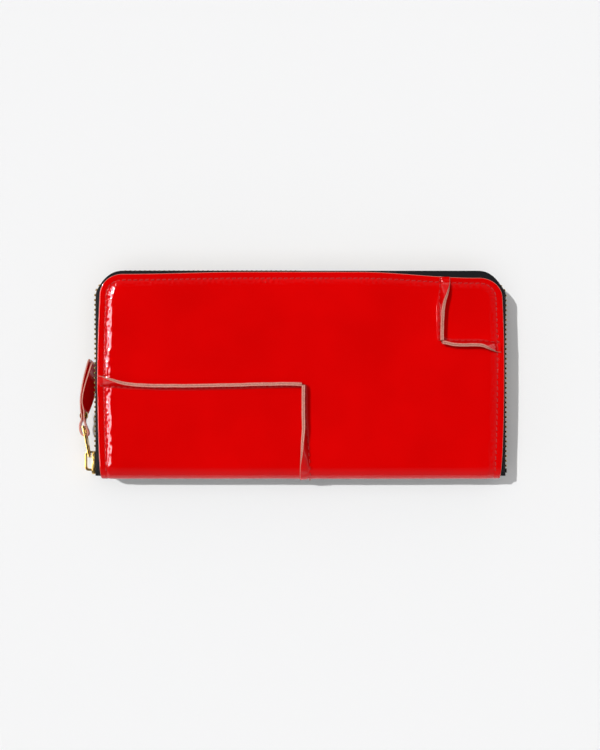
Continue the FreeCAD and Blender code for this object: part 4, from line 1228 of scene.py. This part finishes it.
def make_slider():
    """Two shaped plates round the chain, with turned-in sides and an arched bridge on the outer plate."""
    low, high = SLIDER_LOW - Vector((0, 1.4, 0)), SLIDER_HIGH
    length, half = high.y - low.y, (high.z - low.z) / 2
    plate = 0.9
    outline = slider_outline(length, half, half * 0.82)
    parts = []
    for name, x in (("outer", low.x + plate / 2), ("inner", high.x - plate / 2)):
        centre = Vector((x, low.y, MIDDLE))
        parts.append(brass_plate(f"slider_{name}", outline, centre, plate, 0.28))
    side = [(1.2, half * 0.86), (2.4, half - 0.15)]
    side += [(length * 0.6, half * 0.86), (length - 0.5, half * 0.78)]
    lip = [tuple(point) for point in smooth_line(side, 3)]
    wall = lip + [(y, z - 0.7) for y, z in reversed(lip)]
    depth = (high.x - low.x - 2 * plate - 1.1) / 2
    for sign in (1, -1):
        shape = [(y, sign * z) for y, z in wall]
        for x in (low.x + plate + depth / 2 - 0.1, high.x - plate - depth / 2 + 0.1):
            centre = Vector((x, low.y, MIDDLE))
            parts.append(brass_plate("slider_lip", shape, centre, depth + 0.2, 0.12))
    neck = round_rectangle((0.1, -0.7), (1.9, 0.7), 0.5)
    centre = Vector(((low.x + high.x) / 2, low.y, MIDDLE))
    parts.append(brass_plate("slider_neck", neck, centre, high.x - low.x - 0.8, 0.1))
    slider = join_objects("zip_slider", parts)
    attach(slider, "zip_slider", ("zip_slider_body",))

    crown_low, crown_high = node_box("zip_slider_crown")
    band = band_outline(crown_high.y - crown_low.y, crown_high.x - crown_low.x - 0.2, 1.0, 2.0)
    turn = Matrix(((0, -1, 0, 0), (1, 0, 0, 0), (0, 0, 1, 0), (0, 0, 0, 1)))
    place = Matrix.Translation(Vector((crown_high.x, (crown_low.y + crown_high.y) / 2, MIDDLE))) @ turn
    crown = make_bevelled("slider_bridge", band, crown_high.z - crown_low.z + 0.2, place, BRASS, 0.26)
    attach(crown, "zip_slider", ("zip_slider_crown",))


def joint_named(name):
    return next(joint for joint in frame["joints"] if joint["name"] == name)


PIVOT = Vector(joint_named("pull_swing")["pos_m"]) / MM
EYE = Vector(joint_named("puller_swing")["pos_m"]) / MM
PULL_UP = Vector(joint_named("pull_swing")["axis"]).normalized()
# the whole pull hangs down from the slider's bridge towards the table
DROOP = Matrix.Rotation(-math.atan2(PULL_UP.y, PULL_UP.z), 4, "X")


def make_link():
    """A brass link with a round bar at each end and two windows between flat rails."""
    along = (EYE - PIVOT).normalized()
    length = (EYE - PIVOT).length
    near, far, rail, bar = 1.9, 2.9, 0.85, 0.6

    def half_at(y):
        return near + (far - near) * y / length

    def window(low, high):
        return with_mirror([(low, half_at(low) - rail), (high, half_at(high) - rail)])

    outline = [(-0.1, near), (length + 0.1, far), (length + 0.1, -far), (-0.1, -near)]
    across = along.cross(PULL_UP)
    basis = Matrix((along, PULL_UP, across)).transposed().to_4x4()
    matrix = Matrix.Translation(PIVOT) @ basis
    windows = (window(bar, bar + 4.8), window(length - bar - 5.2, length - bar))
    parts = [make_bevelled("link_plate", outline, 1.15, matrix, BRASS, 0.28, holes=windows)]
    circle = arc_points((0, 0), bar, 0, 345, 24)
    for y, half in ((0.0, near), (length, far)):
        bar_frame = Matrix.Translation(PIVOT + along * y) @ DROOP
        parts.append(make_bevelled("link_bar", circle, 2 * half, bar_frame, BRASS, 0.15))
    link = join_objects("pull_link", parts)
    attach(link, "zip_pull", ("zip_pull_link",))


# the strap's middle line as (x, y) from the link's far bar
OUTER_LEAF = [(2.1, 33.9), (1.4, 27.1), (0.95, 19.2), (0.05, 11.7), (-0.75, 7.8), (-0.9, 5.8)]
LOOP = [(-1.15, 3.6), (-1.75, 1.9), (-1.95, 0.2), (-1.75, -1.8), (-1.0, -3.5), (0.3, -4.4)]
LOOP += [(1.6, -4.3), (2.2, -3.2), (1.9, -1.6), (1.25, 0.0), (0.6, 1.6), (0.2, 3.4)]
INNER_LEAF = [(0.3, 5.8), (0.75, 8.2), (0.95, 11.7), (1.6, 16.1), (2.5, 21.4), (3.25, 26.7), (3.95, 32.5)]
STRAP_PLY = 0.75
RIVET_Y = 5.8


def strap_half_width(y, leaf_end):
    """Half the strap's width: narrow through the link, wide by the free ends, which are rounded."""
    half = 1.55 + 2.95 * float(smooth_step(2.0, 16.0, np.array(y)))
    past = max(0.0, y - (leaf_end - 3.2)) / 3.2
    return half * math.sqrt(max(0.05, 1 - 0.62 * past ** 2.2))


def strap_roll(y):
    """How far the strap is rolled about its length, in radians. It straightens beside the zip."""
    rolled = 27.0 * float(smooth_step(1.5, 12.5, np.array(y)))
    return math.radians(rolled - 24.0 * float(smooth_step(18.0, 34.0, np.array(y))))


def make_strap():
    """One strip of leather folded round the link's bar, its two leaves rolled towards the zip."""
    line = smooth_line(OUTER_LEAF + LOOP + INNER_LEAF, 7)
    lengths = np.concatenate([[0], np.cumsum(np.linalg.norm(np.diff(line, axis=0), axis=1))])
    middle = int(len(line) * 0.5)
    tangents = np.gradient(line, axis=0)
    tangents /= np.linalg.norm(tangents, axis=1, keepdims=True)
    points = []
    steps = 10
    across = np.linspace(1, -1, steps + 1)
    for i, ((x, y), tangent) in enumerate(zip(line, tangents)):
        end = OUTER_LEAF[0][1] if i < middle else INNER_LEAF[-1][1]
        half = strap_half_width(y, end)
        roll = strap_roll(y)
        side = Vector((-tangent[1], tangent[0], 0))
        down = Vector((math.sin(roll), 0, -math.cos(roll)))
        thick = (side - down * side.dot(down)).normalized()
        centre = Vector((x, y, 0))
        cup = 0.45 * math.sin(roll)
        ring = []
        for sign in (1, -1):
            for a in across if sign == 1 else across[::-1]:
                bow = thick * cup * (1 - a * a)
                ring.append(centre - down * half * a + bow + thick * sign * STRAP_PLY / 2)
        points += ring
    per = 2 * (steps + 1)
    faces = tube_faces(len(line), per) + [tuple(range(per)), last_ring(len(line), per)]
    kinds = [1 if k in (steps, per - 1) else 0 for k in range(per)] * (len(line) - 1) + [1, 1]
    hang = Matrix.Translation(EYE) @ DROOP
    strap = make_object("pull_strap", [hang @ p for p in points], faces, [PATENT, RAW_EDGE], kinds)
    fix_normals(strap)
    keep_edges_sharp(strap, 50)
    soften = strap.modifiers.new("edges", "BEVEL")
    soften.width = 0.16 * MM
    soften.segments = 2
    soften.limit_method = "ANGLE"
    soften.angle_limit = math.radians(50)
    attach(strap, "puller", ("zip_pull_strap",))


def turned_piece(name, profile, matrix, material):
    """A solid of revolution about its own Z, from (radius, height) pairs."""
    points, sides = [], 28
    for r, z in profile:
        for k in range(sides):
            a = 2 * math.pi * k / sides
            points.append((max(r, 0.01) * math.cos(a), max(r, 0.01) * math.sin(a), z))
    faces = tube_faces(len(profile), sides)
    faces += [tuple(range(sides - 1, -1, -1)), last_ring(len(profile), sides)]
    points = [matrix @ Vector(p) for p in points]
    obj = make_object(name, points, faces, [material])
    fix_normals(obj)
    keep_edges_sharp(obj, 45)
    return obj


def make_rivet():
    """The rivet's two caps, each a low dome with a rolled rim, and the shank between them."""
    low, high = node_box("zip_pull_rivet")
    centre, half = (low + high) / 2, (high.x - low.x) / 2
    radius = (high.y - low.y) / 2 - 0.25
    rim = half - 0.6
    dome = [(0.0, half), (radius * 0.35, half - 0.03), (radius * 0.62, half - 0.12)]
    dome += [(radius * 0.8, half - 0.26), (radius * 0.93, half - 0.30), (radius, rim + 0.14)]
    dome += [(radius * 0.96, rim), (1.0, rim - 0.02)]
    profile = with_mirror(dome)
    turn = Matrix.Rotation(math.radians(90) - strap_roll(RIVET_Y + 3.0), 4, "Y")
    rivet = turned_piece("pull_rivet", profile, Matrix.Translation(centre) @ DROOP @ turn, BRASS)
    attach(rivet, "puller", ("zip_pull_rivet",))


# ---------------------------------------------------------------- gussets


def make_gussets():
    """Each gusset is one soft fold between the leaves that it joins, baked in place."""
    folds = {
        "back": ("back_cover", "centre"),
        "front": ("centre", "front_cover"),
    }
    for end in ("left", "right"):
        for side, (first, second) in folds.items():
            node = f"{end}_{side}_gusset"
            low, high = node_box(node)
            sign = -1 if end == "left" else 1
            outer = max(abs(low.x), abs(high.x))
            inner = min(abs(low.x), abs(high.x))
            z_low, z_high = low.z + 0.25, high.z - 0.25
            middle = (z_low + z_high) / 2
            fold = [(outer, z_low), (outer - 7, z_low + 0.35)]
            fold += [(inner + 3, middle - 0.55), (inner + 0.8, middle)]
            fold += [(inner + 3, middle + 0.55), (outer - 7, z_high - 0.35), (outer, z_high)]
            line = smooth_line(fold, 6)
            rows = np.linspace(low.y, high.y, 40)
            points = [(sign * x, y, z) for y in rows for x, z in line]
            faces = [tuple(f) for f in grid_faces(len(rows), len(line))]
            gusset = make_object(node + "_fold", points, faces, [INNER])
            thicken(gusset, 0.45)
            fold_ends = (first, second, (0, 0, z_low), (0, 0, z_high))
            attach(gusset, fold_ends, (node,))


def thicken(obj, ply):
    """Gives a sheet its thickness, for good."""
    solid = obj.modifiers.new("ply", "SOLIDIFY")
    solid.thickness = ply * MM
    solid.offset = 0
    with bpy.context.temp_override(object=obj, active_object=obj):
        bpy.ops.object.modifier_apply(modifier=solid.name)


# ---------------------------------------------------------------- stage


def keep_floor_neutral(names):
    """The red leather throws no red light on the pale floor. It still casts its shadow."""
    for name in names:
        bpy.data.objects[name].visible_diffuse = False


def make_stage():
    """A plain pale floor, seen from above."""
    size = 3000.0
    corners = [(-size, -size, -0.05), (size, -size, -0.05), (size, size, -0.05), (-size, size, -0.05)]
    s = Shader("floor_paint", (0.92, 0.92, 0.92), 0.9)
    s.set("Specular IOR Level", 0.0)
    floor = make_object("floor", corners, [(0, 1, 2, 3)], [s.material], smooth=False)


def make_world():
    """An even studio: dark straight overhead, pale lower down."""
    world = bpy.data.worlds.new("studio")
    bpy.context.scene.world = world
    world.use_nodes = True
    nodes, links = world.node_tree.nodes, world.node_tree.links
    background = nodes["Background"]
    place = nodes.new("ShaderNodeTexCoord")
    split = nodes.new("ShaderNodeSeparateXYZ")
    links.new(place.outputs["Generated"], split.inputs["Vector"])
    ramp = nodes.new("ShaderNodeValToRGB")
    links.new(split.outputs["Z"], ramp.inputs["Fac"])
    stops = ((0.0, 0.36), (0.3, 0.30), (0.6, 0.22), (0.84, 0.10), (0.93, 0.0))
    elements = ramp.color_ramp.elements
    while len(elements) < len(stops):
        elements.new(0.5)
    for element, (position, level) in zip(elements, stops):
        element.position = position
        element.color = (level, level, level * 1.03, 1)
    links.new(ramp.outputs["Color"], background.inputs["Color"])
    background.inputs["Strength"].default_value = 1.0


def add_area(name, place, size, power, target=(0, 0, 0)):
    light = bpy.data.lights.new(name, "AREA")
    light.shape = "RECTANGLE"
    light.size, light.size_y = size
    light.energy = power
    obj = bpy.data.objects.new(name, light)
    bpy.context.scene.collection.objects.link(obj)
    obj.location = Vector(place)
    obj.rotation_euler = (Vector(target) - Vector(place)).to_track_quat("-Z", "Y").to_euler()
    return obj


def make_lights():
    """A hard key from the far left, a strip for the streaks on the left edge and an overhead fill."""
    sun = bpy.data.lights.new("key", "SUN")
    sun.energy = 1.95
    sun.angle = math.radians(0.9)
    key = bpy.data.objects.new("key", sun)
    bpy.context.scene.collection.objects.link(key)
    toward = Vector((-0.52, 0.27, 1.0))
    key.rotation_euler = (-toward).to_track_quat("-Z", "Y").to_euler()
    strip = add_area("left_strip", (-0.75, 0.05, 1.05), (0.9, 0.26), 12.0)
    strip.visible_diffuse = False
    fill = add_area("overhead_fill", (0, 0, 1.6), (2.0, 2.0), 12.0)
    fill.visible_glossy = False


CAMERA_HEIGHT = 0.5


def make_camera():
    """Straight above the wallet, which fills about two thirds of the frame's width."""
    camera = bpy.data.cameras.new("camera")
    obj = bpy.data.objects.new("camera", camera)
    bpy.context.scene.collection.objects.link(obj)
    obj.location = (-0.00024, -0.00024, CAMERA_HEIGHT)
    frame_height = 0.363
    camera.sensor_fit = "VERTICAL"
    camera.sensor_height = 36.0
    camera.lens = 36.0 * (CAMERA_HEIGHT - TOP * MM) / frame_height
    camera.clip_start = 0.01
    bpy.context.scene.camera = obj


def make_view():
    scene = bpy.context.scene
    scene.view_settings.view_transform = "Standard"
    scene.view_settings.look = "None"


finish_cad_nodes()
make_front_leather()
make_back_leather()
make_raised_seams()
make_edge_stitches("front_edge_stitches", True, "front_cover", "front_edge_stitching")
make_edge_stitches("back_edge_stitches", False, "back_cover", "back_edge_stitching")
make_tape("zip_tape_back", False, "back_cover", "back_zip_tape")
make_tape("zip_tape_front", True, "front_cover", "front_zip_tape")
make_teeth()
make_slider()
make_link()
make_strap()
make_rivet()
make_gussets()
keep_floor_neutral(("front_main_panel", "front_low_patch", "front_high_patch", "back_panel", "pull_strap"))
make_stage()
make_world()
make_lights()
make_camera()
make_view()
